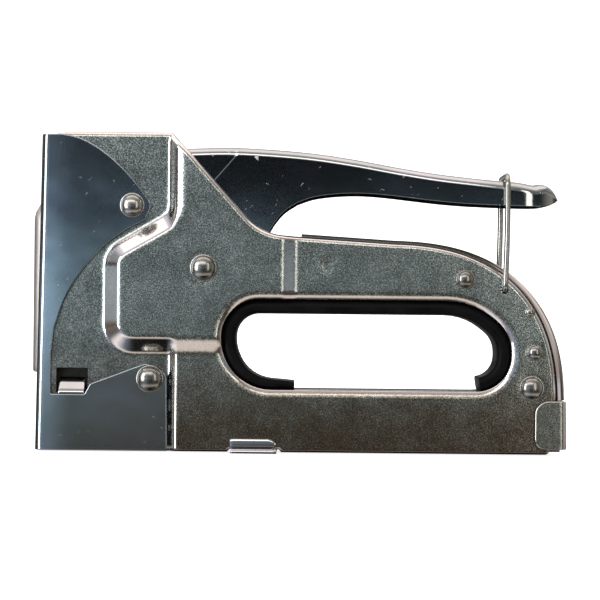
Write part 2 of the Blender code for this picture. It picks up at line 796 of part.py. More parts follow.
def build():
    for old in list(bpy.data.objects):
        bpy.data.objects.remove(old)
    zinc = material("zinc_plated_steel", (0.46, 0.48, 0.47), 0.38, 1.0)
    polished = material("polished_steel", (0.50, 0.53, 0.55), 0.16, 1.0)
    chrome = material("chromed_steel", (0.55, 0.56, 0.57), 0.08, 1.0)
    steel = material("plain_steel", (0.42, 0.42, 0.42), 0.35, 1.0)
    blued = material("spring_steel", (0.12, 0.12, 0.13), 0.40, 1.0)
    plastic = material("black_plastic", (0.02, 0.02, 0.02), 0.45, 0.0)
    rubber = material("black_rubber", (0.03, 0.03, 0.03), 0.80, 0.0)

    body_shells(zinc)
    nose_cover(polished)
    rivets(chrome)
    spacers(steel)
    grip_liner(plastic)
    grip_spine(zinc)
    belly_strap(chrome)
    striker_group(steel, blued, rubber)
    lever_group(chrome, steel, blued)
    lock_wire(chrome)
    magazine_group(steel, zinc, blued)

    for piece in bpy.data.objects:
        if piece.type == "MESH":
            piece.data.shade_smooth()
            piece.data.set_sharp_from_angle(angle=math.radians(35))

    lever_pieces = ["lever", "lever_lifter", "lever_bushing", "lever_cross_pin"]
    drawer = ["magazine_rail", "pusher_rod", "pusher_spring", "magazine_cap"]
    carry("lever_axis", (PIVOT[0], 0, PIVOT[1]), lever_pieces)
    carry("wire_axis", (WIRE_PIVOT[0], 0, WIRE_PIVOT[1]), ["lock_wire"])
    carry("striker_axis", (STRIKER_X, 0, PLUNGER_LOW), ["plunger", "driver_blade"])
    carry("magazine_axis", (MAGAZINE_FRONT, 0, ROD_Z), drawer)
    carry("pusher_axis", (PUSHER_BACK, 0, ROD_Z), ["pusher"])


build()
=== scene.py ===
# %% [markdown]
# # A hand-squeezed staple gun
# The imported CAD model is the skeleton: it says where every piece is and how it moves. This notebook puts
# the real surfaces on it. Each pressed sheet is rebuilt as a fine mesh with rounded bends, and each piece
# gets a finish. Sizes are written in millimetres and turned into metres at the last moment, because a
# maker reads a drawing that way.

import math

import bmesh
import bpy
import numpy as np
from mathutils import Matrix, Vector
from mathutils.geometry import delaunay_2d_cdt


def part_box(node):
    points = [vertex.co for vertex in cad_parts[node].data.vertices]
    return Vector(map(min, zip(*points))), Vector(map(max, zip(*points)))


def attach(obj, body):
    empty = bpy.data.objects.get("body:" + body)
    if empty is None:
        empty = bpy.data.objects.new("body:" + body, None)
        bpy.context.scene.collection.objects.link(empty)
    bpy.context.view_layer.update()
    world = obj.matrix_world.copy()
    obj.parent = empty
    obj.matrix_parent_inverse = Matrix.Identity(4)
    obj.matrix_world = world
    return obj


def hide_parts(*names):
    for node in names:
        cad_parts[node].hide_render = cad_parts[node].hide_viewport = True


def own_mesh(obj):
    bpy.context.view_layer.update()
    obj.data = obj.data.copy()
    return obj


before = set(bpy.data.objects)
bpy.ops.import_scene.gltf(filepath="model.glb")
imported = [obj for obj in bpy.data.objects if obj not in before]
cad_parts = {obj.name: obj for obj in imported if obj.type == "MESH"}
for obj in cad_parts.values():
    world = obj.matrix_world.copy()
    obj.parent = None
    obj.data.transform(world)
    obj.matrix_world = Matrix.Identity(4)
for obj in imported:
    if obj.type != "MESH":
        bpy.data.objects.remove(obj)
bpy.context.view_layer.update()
MM = 0.001

# %% [markdown]
# ## The camera
# The tool is seen square from its near side, so its outline shows its true proportions. A long lens from
# about 58 cm keeps the far wire leg only slightly inside the near one. The lens axis meets the tool at
# z = 40 mm, and a small vertical shift brings the lever into the frame without tilting the view. The tool
# leans by half a degree, so the camera is rolled by the same amount.

# %% Camera
ROLL = math.radians(0.57)
NEAR_FACE, DISTANCE = -10.0, 580.0
SENSOR, FRAME_WIDE = 36.0, 180.0
LENS_X, LENS_Z = 0.4, 40.0
lens_data = bpy.data.cameras.new("camera")
lens_data.lens = SENSOR * DISTANCE / FRAME_WIDE
lens_data.shift_y = 0.035
lens_data.clip_start = 0.01
camera = bpy.data.objects.new("camera", lens_data)
bpy.context.scene.collection.objects.link(camera)
right = Vector((math.cos(ROLL), 0, math.sin(ROLL)))
up = Vector((-math.sin(ROLL), 0, math.cos(ROLL)))
back = Vector((0, -1, 0))
turn = Matrix((right, up, back)).transposed().to_4x4()
eye = Vector((LENS_X, NEAR_FACE - DISTANCE, LENS_Z)) * MM
camera.matrix_world = Matrix.Translation(eye) @ turn
bpy.context.scene.camera = camera
bpy.context.scene.view_settings.view_transform = "Standard"
print("lens", round(lens_data.lens, 1), "mm")

# %% [markdown]
# ## Colour and nodes
# Colours are picked as hex values, as a paint card gives them, and Blender wants them linear. One small
# function adds a node, sets it and links it, so a material reads as a list of what it is made of.


# %% Helpers for materials
def hex_colour(code):
    """An sRGB hex colour as linear RGBA."""
    channels = [int(code[i : i + 2], 16) / 255 for i in (1, 3, 5)]
    linear = [c / 12.92 if c <= 0.04045 else ((c + 0.055) / 1.055) ** 2.4 for c in channels]
    return (*linear, 1.0)


def node(tree, kind, settings=None, ramp=None, output=None, **inputs):
    """Adds a shader node and gives back its output, the first one unless another is named. An input is named,
    or numbered as i0, i1, and takes a value or another node's output. A ramp is a list of (place, hex)."""
    made = tree.nodes.new("ShaderNode" + kind)
    for name, value in (settings or {}).items():
        setattr(made, name, value)
    if ramp:
        stops = made.color_ramp.elements
        stops[0].color, stops[1].color = hex_colour(ramp[0][1]), hex_colour(ramp[-1][1])
        for stop, code in ramp[1:-1]:
            stops.new(stop).color = hex_colour(code)
    for name, value in inputs.items():
        numbered = name[0] == "i" and name[1:].isdigit()
        socket = made.inputs[int(name[1:]) if numbered else name.replace("_", " ")]
        if isinstance(value, bpy.types.NodeSocket):
            tree.links.new(value, socket)
        else:
            socket.default_value = value
    return made.outputs[output] if output else next(socket for socket in made.outputs if socket.enabled)


def blank(name, colour="#808080", metallic=1.0, roughness=0.3):
    """A new material, its node tree, its shader and object-space coordinates in metres."""
    made = bpy.data.materials.new(name)
    made.use_nodes = True
    tree = made.node_tree
    shader = tree.nodes["Principled BSDF"]
    shader.inputs["Base Color"].default_value = hex_colour(colour)
    shader.inputs["Metallic"].default_value = metallic
    shader.inputs["Roughness"].default_value = roughness
    return made, tree, shader, node(tree, "TexCoord", output="Object")


SMOOTH = {"interpolation_type": "SMOOTHSTEP"}
COLOURS = {"data_type": "RGBA"}
print("white is", hex_colour("#ffffff"))

# %% [markdown]
# ## The studio
# The tool stands as on a catalogue page: a pure white ground, with dark steel that reflects a dark room on
# the camera's side and bright panels above and at the edges. Metal has no look of its own, it only shows
# what stands round it, so the room is most of the finish. The floor and the wall behind it are two pieces
# of white paper, hidden from reflections, or every rounded edge would melt into the white ground.

# %% Paper floor and wall
paper_white, tree, shader, place = blank("white_paper", "#fbfbfa", 0.0, 0.9)
shader.inputs["Emission Color"].default_value = hex_colour("#ffffff")
shader.inputs["Emission Strength"].default_value = 0.85


def backdrop(name, rows, finish, closed=False):
    """A sheet through rows of (x, y, z) in millimetres, as part of the studio and not of the tool."""
    built = bmesh.new()
    made = [[built.verts.new(Vector(place) * MM) for place in row] for row in rows]
    for low, high in zip(made, made[1:]):
        for k in range(0 if closed else 1, len(low)):
            built.faces.new((low[k - 1], low[k], high[k], high[k - 1]))
    mesh = bpy.data.meshes.new(name)
    built.to_mesh(mesh)
    built.free()
    mesh.shade_smooth()
    mesh.materials.append(finish)
    sheet = bpy.data.objects.new(name, mesh)
    bpy.context.scene.collection.objects.link(sheet)
    sheet.visible_glossy = False
    print(name, len(mesh.polygons), "faces")
    return sheet


BEHIND, COVE_RADIUS, PAPER_HALF = 900.0, 300.0, 1400.0
cove = [math.radians(a) for a in range(0, 100, 10)]
wall_line = [(BEHIND + COVE_RADIUS * math.sin(a), COVE_RADIUS - COVE_RADIUS * math.cos(a)) for a in cove]
wall_line.append((BEHIND + COVE_RADIUS, 1800.0))
floor_line = [(-360.0, 0.0), (-120.0, 0.0), (120.0, 0.0), (BEHIND, 0.0)]
for name, line in (("floor", floor_line), ("wall", wall_line)):
    rows = [[(x, y, z) for x in (-PAPER_HALF, PAPER_HALF)] for y, z in line]
    backdrop(name, rows, paper_white)

# %% [markdown]
# Seen from the side or from behind, the tool would stand in front of the dark room. A round wall of the same
# paper, glowing white, closes the view all round. It is seen only directly, so it changes no reflection.

# %% Round wall
backing, tree, shader, place = blank("glowing_white_paper", "#fbfbfa", 0.0, 0.9)
shader.inputs["Emission Color"].default_value = hex_colour("#ffffff")
shader.inputs["Emission Strength"].default_value = 0.95
UNDER_FLOOR = -0.4
profile = [(300.0, UNDER_FLOOR), (1000.0, UNDER_FLOOR)]
for k in range(1, 9):
    angle = k * math.pi / 16
    profile.append((1000.0 + 400.0 * math.sin(angle), 400.0 - 400.0 * math.cos(angle) + UNDER_FLOOR))
profile.append((1400.0, 2200.0))
turns = [math.tau * k / 72 for k in range(72)]
round_rows = [[(r * math.cos(t), r * math.sin(t), z) for t in turns] for r, z in profile]
round_wall = backdrop("round_wall", round_rows, backing, closed=True)
round_wall.visible_diffuse = round_wall.visible_shadow = False


# %% Light panels
def softbox(name, place, size, power, colour="#ffffff", height=50.0):
    """A flat panel of light at place, in millimetres, turned towards the tool's middle at a height."""
    data = bpy.data.lights.new(name, "AREA")
    data.shape = "RECTANGLE"
    data.size, data.size_y = size[0] * MM, size[1] * MM
    data.energy = power
    data.color = hex_colour(colour)[:3]
    panel = bpy.data.objects.new(name, data)
    bpy.context.scene.collection.objects.link(panel)
    panel.location = Vector(place) * MM
    panel.visible_camera = False
    panel.rotation_euler = (Vector((0, 0, height)) - Vector(place)).to_track_quat("-Z", "Y").to_euler()
    print(name, power, "W")


softbox("top_panel", (0, -40, 620), (900, 420), 1.2, "#ffe9e3", 60.0)
softbox("left_panel", (-500, -440, 150), (240, 520), 2.4)
softbox("right_panel", (300, -610, 150), (100, 520), 0.42, "#fff6ee")
softbox("front_panel", (-120, -600, 400), (560, 180), 0.9, "#fbf3ee")
softbox("back_panel", (160, 640, 330), (620, 200), 0.4)

# %% [markdown]
# The room itself is made of gradients that read only the direction, so it is the same room from every side.
# The first goes by height: dark far below, a pale table, a dark edge, a pale blue band at the height of the
# lens, which the nose cover mirrors, a dark band above it, which makes the lever near black, then grey. The
# second adds a lavender glow at the left and a warm one at the right.

# %% Room in front of the tool
room = bpy.data.worlds.new("room")
room.use_nodes = True
bpy.context.scene.world = room
tree = room.node_tree
direction = node(tree, "TexCoord", output="Generated")
parts = {axis: node(tree, "SeparateXYZ", output=axis, i0=direction) for axis in "XYZ"}
rise = node(tree, "MapRange", i0=parts["Z"], i1=-1.0, i2=1.0)
across = node(tree, "MapRange", i0=parts["X"], i1=-1.0, i2=1.0)
TABLE = [(0.0, "#0e0d0c"), (0.05, "#1c1a18"), (0.10, "#b8aea7"), (0.15, "#fff4ee"), (0.20, "#d8cfc8")]
TABLE_EDGE = [(0.245, "#6a635c"), (0.275, "#34302d"), (0.33, "#4a4642"), (0.38, "#5a554f"), (0.44, "#4a433c")]
HORIZON = [(0.465, "#5f564c"), (0.485, "#6c6860"), (0.498, "#8a9296"), (0.507, "#b4c8d4"), (0.514, "#bcd2e0")]
DARK_BAND = [(0.519, "#5a6f80"), (0.5235, "#1c232c"), (0.529, "#0c0e13"), (0.552, "#0c0e12")]
UPPER = [(0.60, "#7b8387"), (0.70, "#7a8084"), (0.80, "#868584"), (0.87, "#cbc5c2"), (1.0, "#d8d4d2")]
LEFT_GLOW = [(0.0, "#4a433e"), (0.08, "#6c6d78"), (0.20, "#9aa2ba"), (0.32, "#6d7686"), (0.41, "#3a3f44")]
MIDDLE = [(0.45, "#16181a"), (0.485, "#000000"), (0.51, "#000000"), (0.535, "#182123"), (0.56, "#0a0e0f")]
RIGHT_GLOW = [(0.62, "#000000"), (0.78, "#171412"), (0.85, "#211d1a"), (0.91, "#6a615b"), (1.0, "#b0a49e")]
sky = node(tree, "ValToRGB", ramp=TABLE + TABLE_EDGE + HORIZON + DARK_BAND + UPPER, i0=rise)
glow = node(tree, "ValToRGB", ramp=LEFT_GLOW + MIDDLE + RIGHT_GLOW, i0=across)
ADD, TIMES = {**COLOURS, "blend_type": "ADD"}, {**COLOURS, "blend_type": "MULTIPLY"}
front = node(tree, "Mix", ADD, i0=1.0, A=sky, B=glow)
print("sky of", len(TABLE + TABLE_EDGE + HORIZON + DARK_BAND + UPPER), "stops")

# %% [markdown]
# A pale blue patch low at the left gives the nose cover its glow beside the fold: one gradient across times
# one by height.

# %% Patch beside the fold
PATCH_ACROSS = [(0.0, "#000000"), (0.26, "#000000"), (0.33, "#c4dcf0"), (0.38, "#a4bcd2"), (0.425, "#3c4c5a")]
PATCH_ACROSS += [(0.46, "#000000"), (1.0, "#000000")]
PATCH_RISE = [(0.0, "#000000"), (0.462, "#313131"), (0.485, "#b3b3b3"), (0.502, "#ffffff")]
PATCH_RISE += [(0.514, "#f3f3f3"), (0.527, "#595959"), (0.54, "#000000"), (1.0, "#000000")]
patch_across = node(tree, "ValToRGB", ramp=PATCH_ACROSS, i0=across)
patch_rise = node(tree, "ValToRGB", ramp=PATCH_RISE, i0=rise)
patch = node(tree, "Mix", TIMES, i0=1.0, A=patch_across, B=patch_rise)
lit_front = node(tree, "Mix", ADD, i0=1.0, A=front, B=patch)
print("patch of", len(PATCH_ACROSS), "by", len(PATCH_RISE), "stops")

# %% [markdown]
# Behind the tool the room is dark at the horizon, which draws dark outlines, and pale pink above, for the
# lever's top. Straight behind, where only the far side of the tool looks, it is grey and pale, as in front.

# %% Room behind the tool
BEHIND_TOOL = [(0.0, "#2a2522"), (0.51, "#3a3431"), (0.56, "#8a817c"), (0.65, "#f0e4de"), (1.0, "#fff4ef")]
FAR_SIDE = [(0.0, "#2a2725"), (0.20, "#77706b"), (0.36, "#a39d98"), (0.50, "#a8adb0"), (0.53, "#4c5156")]
FAR_SIDE += [(0.60, "#7d7570"), (0.80, "#a39b96"), (1.0, "#fff4ef")]
behind = node(tree, "ValToRGB", ramp=BEHIND_TOOL, i0=rise)
far_side = node(tree, "ValToRGB", ramp=FAR_SIDE, i0=rise)
turned = node(tree, "MapRange", SMOOTH, i0=parts["Y"], i1=0.0, i2=0.2)
facing_back = node(tree, "MapRange", SMOOTH, i0=parts["Y"], i1=0.55, i2=0.8)
whole = node(tree, "Mix", COLOURS, i0=turned, A=lit_front, B=behind)
whole = node(tree, "Mix", COLOURS, i0=facing_back, A=whole, B=far_side)
tree.links.new(whole, tree.nodes["Background"].inputs["Color"])
tree.nodes["Background"].inputs["Strength"].default_value = 1.0
print("room of", len(tree.nodes), "nodes")

# %% [markdown]
# ## Drawing tools
# Every pressed piece is drawn the way a die maker draws it: outlines in X and Z with filleted corners,
# then a height for every point inside them. The outlines here are the ones the CAD solids were cut from.


# %% Outlines
def filleted(corners, step=8.0):
    """A closed outline of (x, z) or (x, z, radius) corners, with a fine arc at each that has a radius."""
    points = []
    for i, corner in enumerate(corners):
        here = Vector(corner[:2])
        radius = corner[2] if len(corner) > 2 else 0.0
        if not radius:
            points.append(tuple(here))
            continue
        before = (Vector(corners[i - 1][:2]) - here).normalized()
        after = (Vector(corners[(i + 1) % len(corners)][:2]) - here).normalized()
        half = before.angle(after) / 2
        centre = here + (before + after).normalized() * (radius / math.sin(half))
        start = here + before * (radius / math.tan(half)) - centre
        sweep = start.angle_signed(here + after * (radius / math.tan(half)) - centre)
        count = max(2, math.ceil(abs(math.degrees(sweep)) / step))
        points += [tuple(centre + Matrix.Rotation(-sweep * k / count, 2) @ start) for k in range(count + 1)]
    return points


def smooth(points, steps=6):
    """A Catmull-Rom curve through open points."""
    run = [Vector(p) for p in points]
    padded = [run[0] * 2 - run[1], *run, run[-1] * 2 - run[-2]]
    made = []
    for a, b, c, d in zip(padded, padded[1:], padded[2:], padded[3:]):
        for t in (k / steps for k in range(steps)):
            bend = (2 * a - 5 * b + 4 * c - d) * t**2 + (3 * b - a - 3 * c + d) * t**3
            made.append(tuple((2 * b + (c - a) * t + bend) / 2))
    return [*made, tuple(run[-1])]


def even(points, spacing, closed=True):
    """The outline again, with its straight runs cut into steps no longer than spacing."""
    made = []
    for a, b in zip(points, points[1:] + points[:1] if closed else points[1:]):
        count = max(1, math.ceil(math.dist(a, b) / spacing))
        made += [(a[0] + (b[0] - a[0]) * k / count, a[1] + (b[1] - a[1]) * k / count) for k in range(count)]
    return made if closed else [*made, points[-1]]


tile = [(0.0, 0.0, 1.0), (10.0, 0.0, 1.0), (10.0, 10.0, 1.0), (0.0, 10.0, 1.0)]
print("a 10 mm tile with 1 mm corners has", len(filleted(tile)), "points")


# %% Offsets and distances
def normals(points):
    """Unit normals that point out of a closed outline."""
    p = np.array(points)
    along = np.roll(p, -1, 0) - p
    along /= np.linalg.norm(along, axis=1, keepdims=True)
    mean = along + np.roll(along, 1, 0)
    mean /= np.linalg.norm(mean, axis=1, keepdims=True)
    reach = 1 / np.maximum(0.5, (mean * along).sum(1))
    area = (p[:, 0] * np.roll(p[:, 1], -1) - np.roll(p[:, 0], -1) * p[:, 1]).sum()
    return np.stack([mean[:, 1], -mean[:, 0]], 1) * (np.sign(area) * reach)[:, None]


def offset(points, distance):
    moved = np.array(points) + normals(points) * np.reshape(distance, (-1, 1))
    return [tuple(p) for p in moved]


def inside(points, loop):
    """Distance of each point into a closed outline, negative outside it."""
    p = np.array(points, float)[:, None, :]
    a = np.array(loop, float)[None]
    b = np.roll(a, -1, 1)
    ab = b - a
    t = np.clip(((p - a) * ab).sum(2) / np.maximum(1e-9, (ab**2).sum(2)), 0, 1)
    gap = np.sqrt((((a + ab * t[..., None]) - p) ** 2).sum(2)).min(1)
    crosses = (a[..., 1] > p[..., 1]) != (b[..., 1] > p[..., 1])
    at = a[..., 0] + ab[..., 0] * (p[..., 1] - a[..., 1]) / np.where(ab[..., 1] == 0, 1, ab[..., 1])
    within = (crosses & (p[..., 0] < at)).sum(1) % 2 == 1
    return np.where(within, gap, -gap)


def slope(distance, width, soft):
    """0 to 1 over a width, as sheet steel ramps: straight, with a bend of half-width soft at each end."""

    def corner(v):
        return np.where(v < -soft, 0.0, np.where(v > soft, v, (v + soft) ** 2 / (4 * soft)))

    d = np.array(distance, float)
    return (corner(d) - corner(d - width)) / width


print("the tile's middle is", float(inside([(5.0, 5.0)], filleted(tile))[0]), "mm from its edge")

# %% [markdown]
# Sheet metal is one surface with a thickness, so each piece is made as a skin: a triangulated face filled
# with an even grid, and rows of quads that carry its edges round a bend. Solidify gives it the thickness.


# %% Skins
def fill(outer, holes, spacing, busy=None, lines=()):
    """Triangles over an outline with holes. Where busy says so the grid is twice as fine. Points given as
    lines, such as a crease's, take the place of the grid round them."""
    low, high = np.min(outer, 0), np.max(outer, 0)
    xs = np.arange(low[0], high[0], spacing)
    zs = np.arange(low[1], high[1], spacing * 0.866)
    grid = np.array([(x + spacing / 2 * (j % 2), z) for j, z in enumerate(zs) for x in xs])
    if busy is not None:
        rows = np.repeat(np.arange(len(zs)), len(xs))
        columns = np.tile(np.arange(len(xs)), len(zs))
        grid = grid[busy(grid) | ((rows % 2 == 0) & (columns % 2 == 0))]
    room_left = spacing * 0.55
    grid = grid[inside(grid, outer) > room_left]
    for hole in holes:
        grid = grid[inside(grid, hole) < -room_left]
    if len(lines):
        lines = np.array(lines)[inside(lines, outer) > 0.12]
        clear = np.array([np.hypot(*(lines - p).T).min() > 0.3 for p in grid])
        grid = np.concatenate([grid[clear], lines])
    loops, points = [], []
    for loop in [outer, *holes]:
        loops.append(list(range(len(points), len(points) + len(loop))))
        points += list(loop)
    flat = [Vector(p) for p in [*points, *grid]]
    edges = [(loop[i - 1], loop[i]) for loop in loops for i in range(len(loop))]
    verts, _, faces, sources, _, _ = delaunay_2d_cdt(flat, edges, [], 0, 1e-4)
    became = {first: i for i, firsts in enumerate(sources) for first in firsts}
    loops = [[became[i] for i in loop] for loop in loops]
    corners = np.array([tuple(v) for v in verts])
    middles = corners[np.array(faces)].mean(1)
    keep = inside(middles, outer) > 0
    for hole in holes:
        keep &= inside(middles, hole) < 0
    return corners, [f for f, k in zip(faces, keep) if k], loops


print("the tile filled at 1 mm has", len(fill(filleted(tile), [], 1.0)[1]), "triangles")


# %% Joining and turning skins
def ring_faces(built, first, second, closed=True):
    count = len(first)
    for i in range(0 if closed else 1, count):
        corners = list(dict.fromkeys((first[i - 1], first[i], second[i], second[i - 1])))
        if len(corners) > 2:
            built.faces.new(corners)


def outwards(built, near=True):
    """Makes a skin's faces agree, and face -Y where near."""
    bmesh.ops.recalc_face_normals(built, faces=built.faces[:])
    lean = sum(f.normal.y * f.calc_area() for f in built.faces)
    if (lean > 0) == near:
        bmesh.ops.reverse_faces(built, faces=built.faces[:])


def finished(name, built, body, stands_for, finish, thick=0.0, edge=0.0, sharp=40.0):
    """Turns a bmesh drawn in millimetres into a piece of the tool."""
    bmesh.ops.scale(built, vec=(MM, MM, MM), verts=built.verts[:])
    mesh = bpy.data.meshes.new(name)
    built.to_mesh(mesh)
    built.free()
    made = bpy.data.objects.new(name, mesh)
    bpy.context.scene.collection.objects.link(made)
    mesh.materials.append(finish)
    mesh.shade_smooth()
    if thick:
        shell = made.modifiers.new("thickness", "SOLIDIFY")
        shell.thickness, shell.offset = thick * MM, -1.0
    if edge:
        bevel = made.modifiers.new("edge", "BEVEL")
        bevel.width, bevel.segments = edge * MM, 2
        bevel.limit_method, bevel.angle_limit = "ANGLE", math.radians(50)
    if thick or edge:
        graph = bpy.context.evaluated_depsgraph_get()
        baked = bpy.data.meshes.new_from_object(made.evaluated_get(graph))
        made.modifiers.clear()
        made.data = baked
    made.data.set_sharp_from_angle(angle=math.radians(sharp))
    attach(made, body)
    if stands_for:
        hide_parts(*stands_for)
    print(name, len(made.data.polygons), "faces")
    return made


def mirrored(built):
    """The same skin on the other side of the middle plane."""
    other = built.copy()
    bmesh.ops.scale(other, vec=(1, -1, 1), verts=other.verts[:])
    bmesh.ops.reverse_faces(other, faces=other.faces[:])
    return other

# %% [markdown]
# ## Finishes
# Each finish is made of noise placed in the tool's own space, with blotches sized in millimetres. Noise keeps
# to the middle of its range, so each use of it says which part of the range it stretches. Scratches are the
# peaks of a long, stretched noise.


# %% Scratches
EVEN_NOISE = {"From_Min": 0.3, "From_Max": 0.7}
MULTIPLY, MULTIPLY_ADD = {"operation": "MULTIPLY"}, {"operation": "MULTIPLY_ADD"}


def scratches(tree, place, apart, angle, share):
    """Thin marks: 1 on a scratch, 0 off it. Long stretched noise, kept only where it peaks."""
    turned = node(tree, "Mapping", Vector=place, Rotation=(0.3, angle, 0.1))
    along = node(tree, "Mapping", Vector=turned, Scale=(0.07, 1.0, 1.0))
    marks = node(tree, "TexNoise", Vector=along, Scale=1 / (apart * MM), Detail=1.0, Roughness=0.4)
    peak = 1.0 - share
    return node(tree, "MapRange", Value=marks, From_Min=peak, From_Max=peak + 0.02, To_Min=0.0, To_Max=1.0)


print("noise is read between", *EVEN_NOISE.values())

# %% [markdown]
# The two body halves are deep-drawn steel, barrel-plated with zinc. Drawing stretches the sheet and roughens
# it, so the plating has a fine orange-peel grain that breaks each reflection into sparkle. Grains are
# 0.45 mm apart here, a little coarser than life, so that they still show from half a metre.


# %% Zinc-plated steel
GRAIN_APART, BLOTCH_APART, CLOUD_APART = 0.45, 1.9, 9.0
BROWN_REFLECTION_TOP, BROWN_REFLECTION_FULL = 0.042, 0.004
FOOT_SHADE_TOP, FOOT_SHADE_FULL = 0.0016, 0.0008


def plated_steel(name, tone, warm, roughness, peel, sparkle=1.0):
    """Zinc on drawn steel: grey-green, with a brownish tint low on the body, painted in as the reflection of
    a warm surrounding.
    """
    made, tree, shader, place = blank(name, tone, 1.0, roughness)
    grain = node(tree, "TexNoise", Vector=place, Scale=1 / (GRAIN_APART * MM), Detail=2.0, Roughness=0.7)
    blotch = node(tree, "TexNoise", Vector=place, Scale=1 / (BLOTCH_APART * MM), Detail=3.0, Roughness=0.65)
    cloud = node(tree, "TexNoise", Vector=place, Scale=1 / (CLOUD_APART * MM), Detail=4.0, Roughness=0.55)
    z = node(tree, "SeparateXYZ", output="Z", i0=place)
    # Painted reflection: a brownish tint towards the foot, fading out above 42 mm, stands in for a warm
    # surrounding reflected there
    low = node(tree, "MapRange", SMOOTH, Value=z, From_Min=BROWN_REFLECTION_TOP, From_Max=BROWN_REFLECTION_FULL)
    uneven = node(tree, "MapRange", Value=cloud, **EVEN_NOISE, To_Min=0.75, To_Max=1.0)
    brown_reflection = node(tree, "Math", MULTIPLY, i0=low, i1=uneven)
    cloudy = node(tree, "MapRange", Value=cloud, From_Min=0.36, From_Max=0.66, To_Min=0.0, To_Max=1.0)
    base = node(tree, "Mix", COLOURS, i0=cloudy, A=hex_colour(tone), B=hex_colour("#a0a8a2"))
    base = node(tree, "Mix", COLOURS, i0=brown_reflection, A=base, B=hex_colour(warm))
    # Each grain and each blotch catches the light a little more or less than its neighbour
    dim, bright = 1.0 - 0.34 * sparkle, 1.0 + 0.70 * sparkle
    glint = node(tree, "MapRange", Value=grain, From_Min=0.41, From_Max=0.68, To_Min=dim, To_Max=bright)
    dim, bright = 1.0 - 0.12 * sparkle, 1.0 + 0.14 * sparkle
    mottle = node(tree, "MapRange", Value=blotch, From_Min=0.36, From_Max=0.64, To_Min=dim, To_Max=bright)
    shade = node(tree, "Math", MULTIPLY, i0=glint, i1=mottle)
    base = node(tree, "VectorMath", {"operation": "SCALE"}, i0=base, Scale=shade)
    # Bends are rubbed: where the surface leans more than 10 degrees from flat it is smoother, and its colour
    # is painted paler there as a painted highlight
    facing = node(tree, "TexCoord", output="Normal")
    flat = node(tree, "Math", {"operation": "ABSOLUTE"}, i0=node(tree, "SeparateXYZ", output="Y", i0=facing))
    rubbed = node(tree, "MapRange", SMOOTH, Value=flat, From_Min=0.984, From_Max=0.91)
    rub_and_painted_highlight = node(tree, "Math", MULTIPLY, i0=rubbed, i1=0.75)
    base = node(tree, "Mix", COLOURS, i0=rub_and_painted_highlight, A=base, B=hex_colour("#e2dad6"))
    # Painted shade: the foot's turned-in edge, within 1.6 mm of the floor, is darkened near black
    foot_shade = node(tree, "MapRange", SMOOTH, Value=z, From_Min=FOOT_SHADE_TOP, From_Max=FOOT_SHADE_FULL)
    base = node(tree, "Mix", COLOURS, i0=foot_shade, A=base, B=hex_colour("#1d1b18"))
    tree.links.new(base, shader.inputs["Base Color"])
    smooth_grain, dull_grain = roughness - 0.04, roughness + 0.08
    rough = node(tree, "MapRange", Value=grain, **EVEN_NOISE, To_Min=smooth_grain, To_Max=dull_grain)
    smoother = node(tree, "Math", MULTIPLY_ADD, i0=rubbed, i1=-0.12, i2=rough)
    tree.links.new(smoother, shader.inputs["Roughness"])
    # Rubbing also takes most of the orange peel away
    left = node(tree, "Math", MULTIPLY_ADD, i0=rubbed, i1=-0.85, i2=1.0)
    normal = node(tree, "Bump", Height=cloud, Distance=0.10 * MM, Strength=left)
    normal = node(tree, "Bump", Height=blotch, Distance=peel * MM, Strength=left, Normal=normal)
    normal = node(tree, "Bump", Height=grain, Distance=peel * MM, Strength=left, Normal=normal)
    tree.links.new(normal, shader.inputs["Normal"])
    print(name, len(tree.nodes), "nodes")
    return made


zinc_body = plated_steel("zinc_plated_drawn_steel", "#c2c9c3", "#7a6b59", 0.22, 0.017)
zinc_trim = plated_steel("zinc_plated_trim", "#a6aca6", "#999b93", 0.22, 0.006, 0.35)
zinc_spine = plated_steel("zinc_plated_strip", "#c9c4be", "#c9c0b8", 0.24, 0.006, 0.3)
zinc_blasted = plated_steel("zinc_on_blasted_steel", "#e2dcd6", "#d6cfc8", 0.55, 0.012, 0.3)

# %% [markdown]
# The strip along the handle's back is darkened near its top with painted shade, where the lever stands over
# it.

# %% Painted shade on the strip
LEVER_SHADE_START, LEVER_SHADE_FULL = 0.050, 0.061
tree = zinc_spine.node_tree
shader = tree.nodes["Principled BSDF"]
above = node(tree, "SeparateXYZ", output="Z", i0=node(tree, "TexCoord", output="Object"))
# Painted shade: the strip darkens from 50 mm upwards, under the lever
lever_shade = node(tree, "MapRange", SMOOTH, Value=above, From_Min=LEVER_SHADE_START, From_Max=LEVER_SHADE_FULL)
bare = shader.inputs["Base Color"].links[0].from_socket
lever_shaded = node(tree, "Mix", COLOURS, i0=lever_shade, A=bare, B=hex_colour("#423f36"))
tree.links.new(lever_shaded, shader.inputs["Base Color"])
print("oil from", LEVER_SHADE_START / MM, "to", LEVER_SHADE_FULL / MM, "mm")

# %% [markdown]
# The nose cover and the lever were polished before plating, so they mirror the room. What tells them from
# a perfect mirror is a slow waviness left by the wheel, a haze of fine marks and a few real scratches.


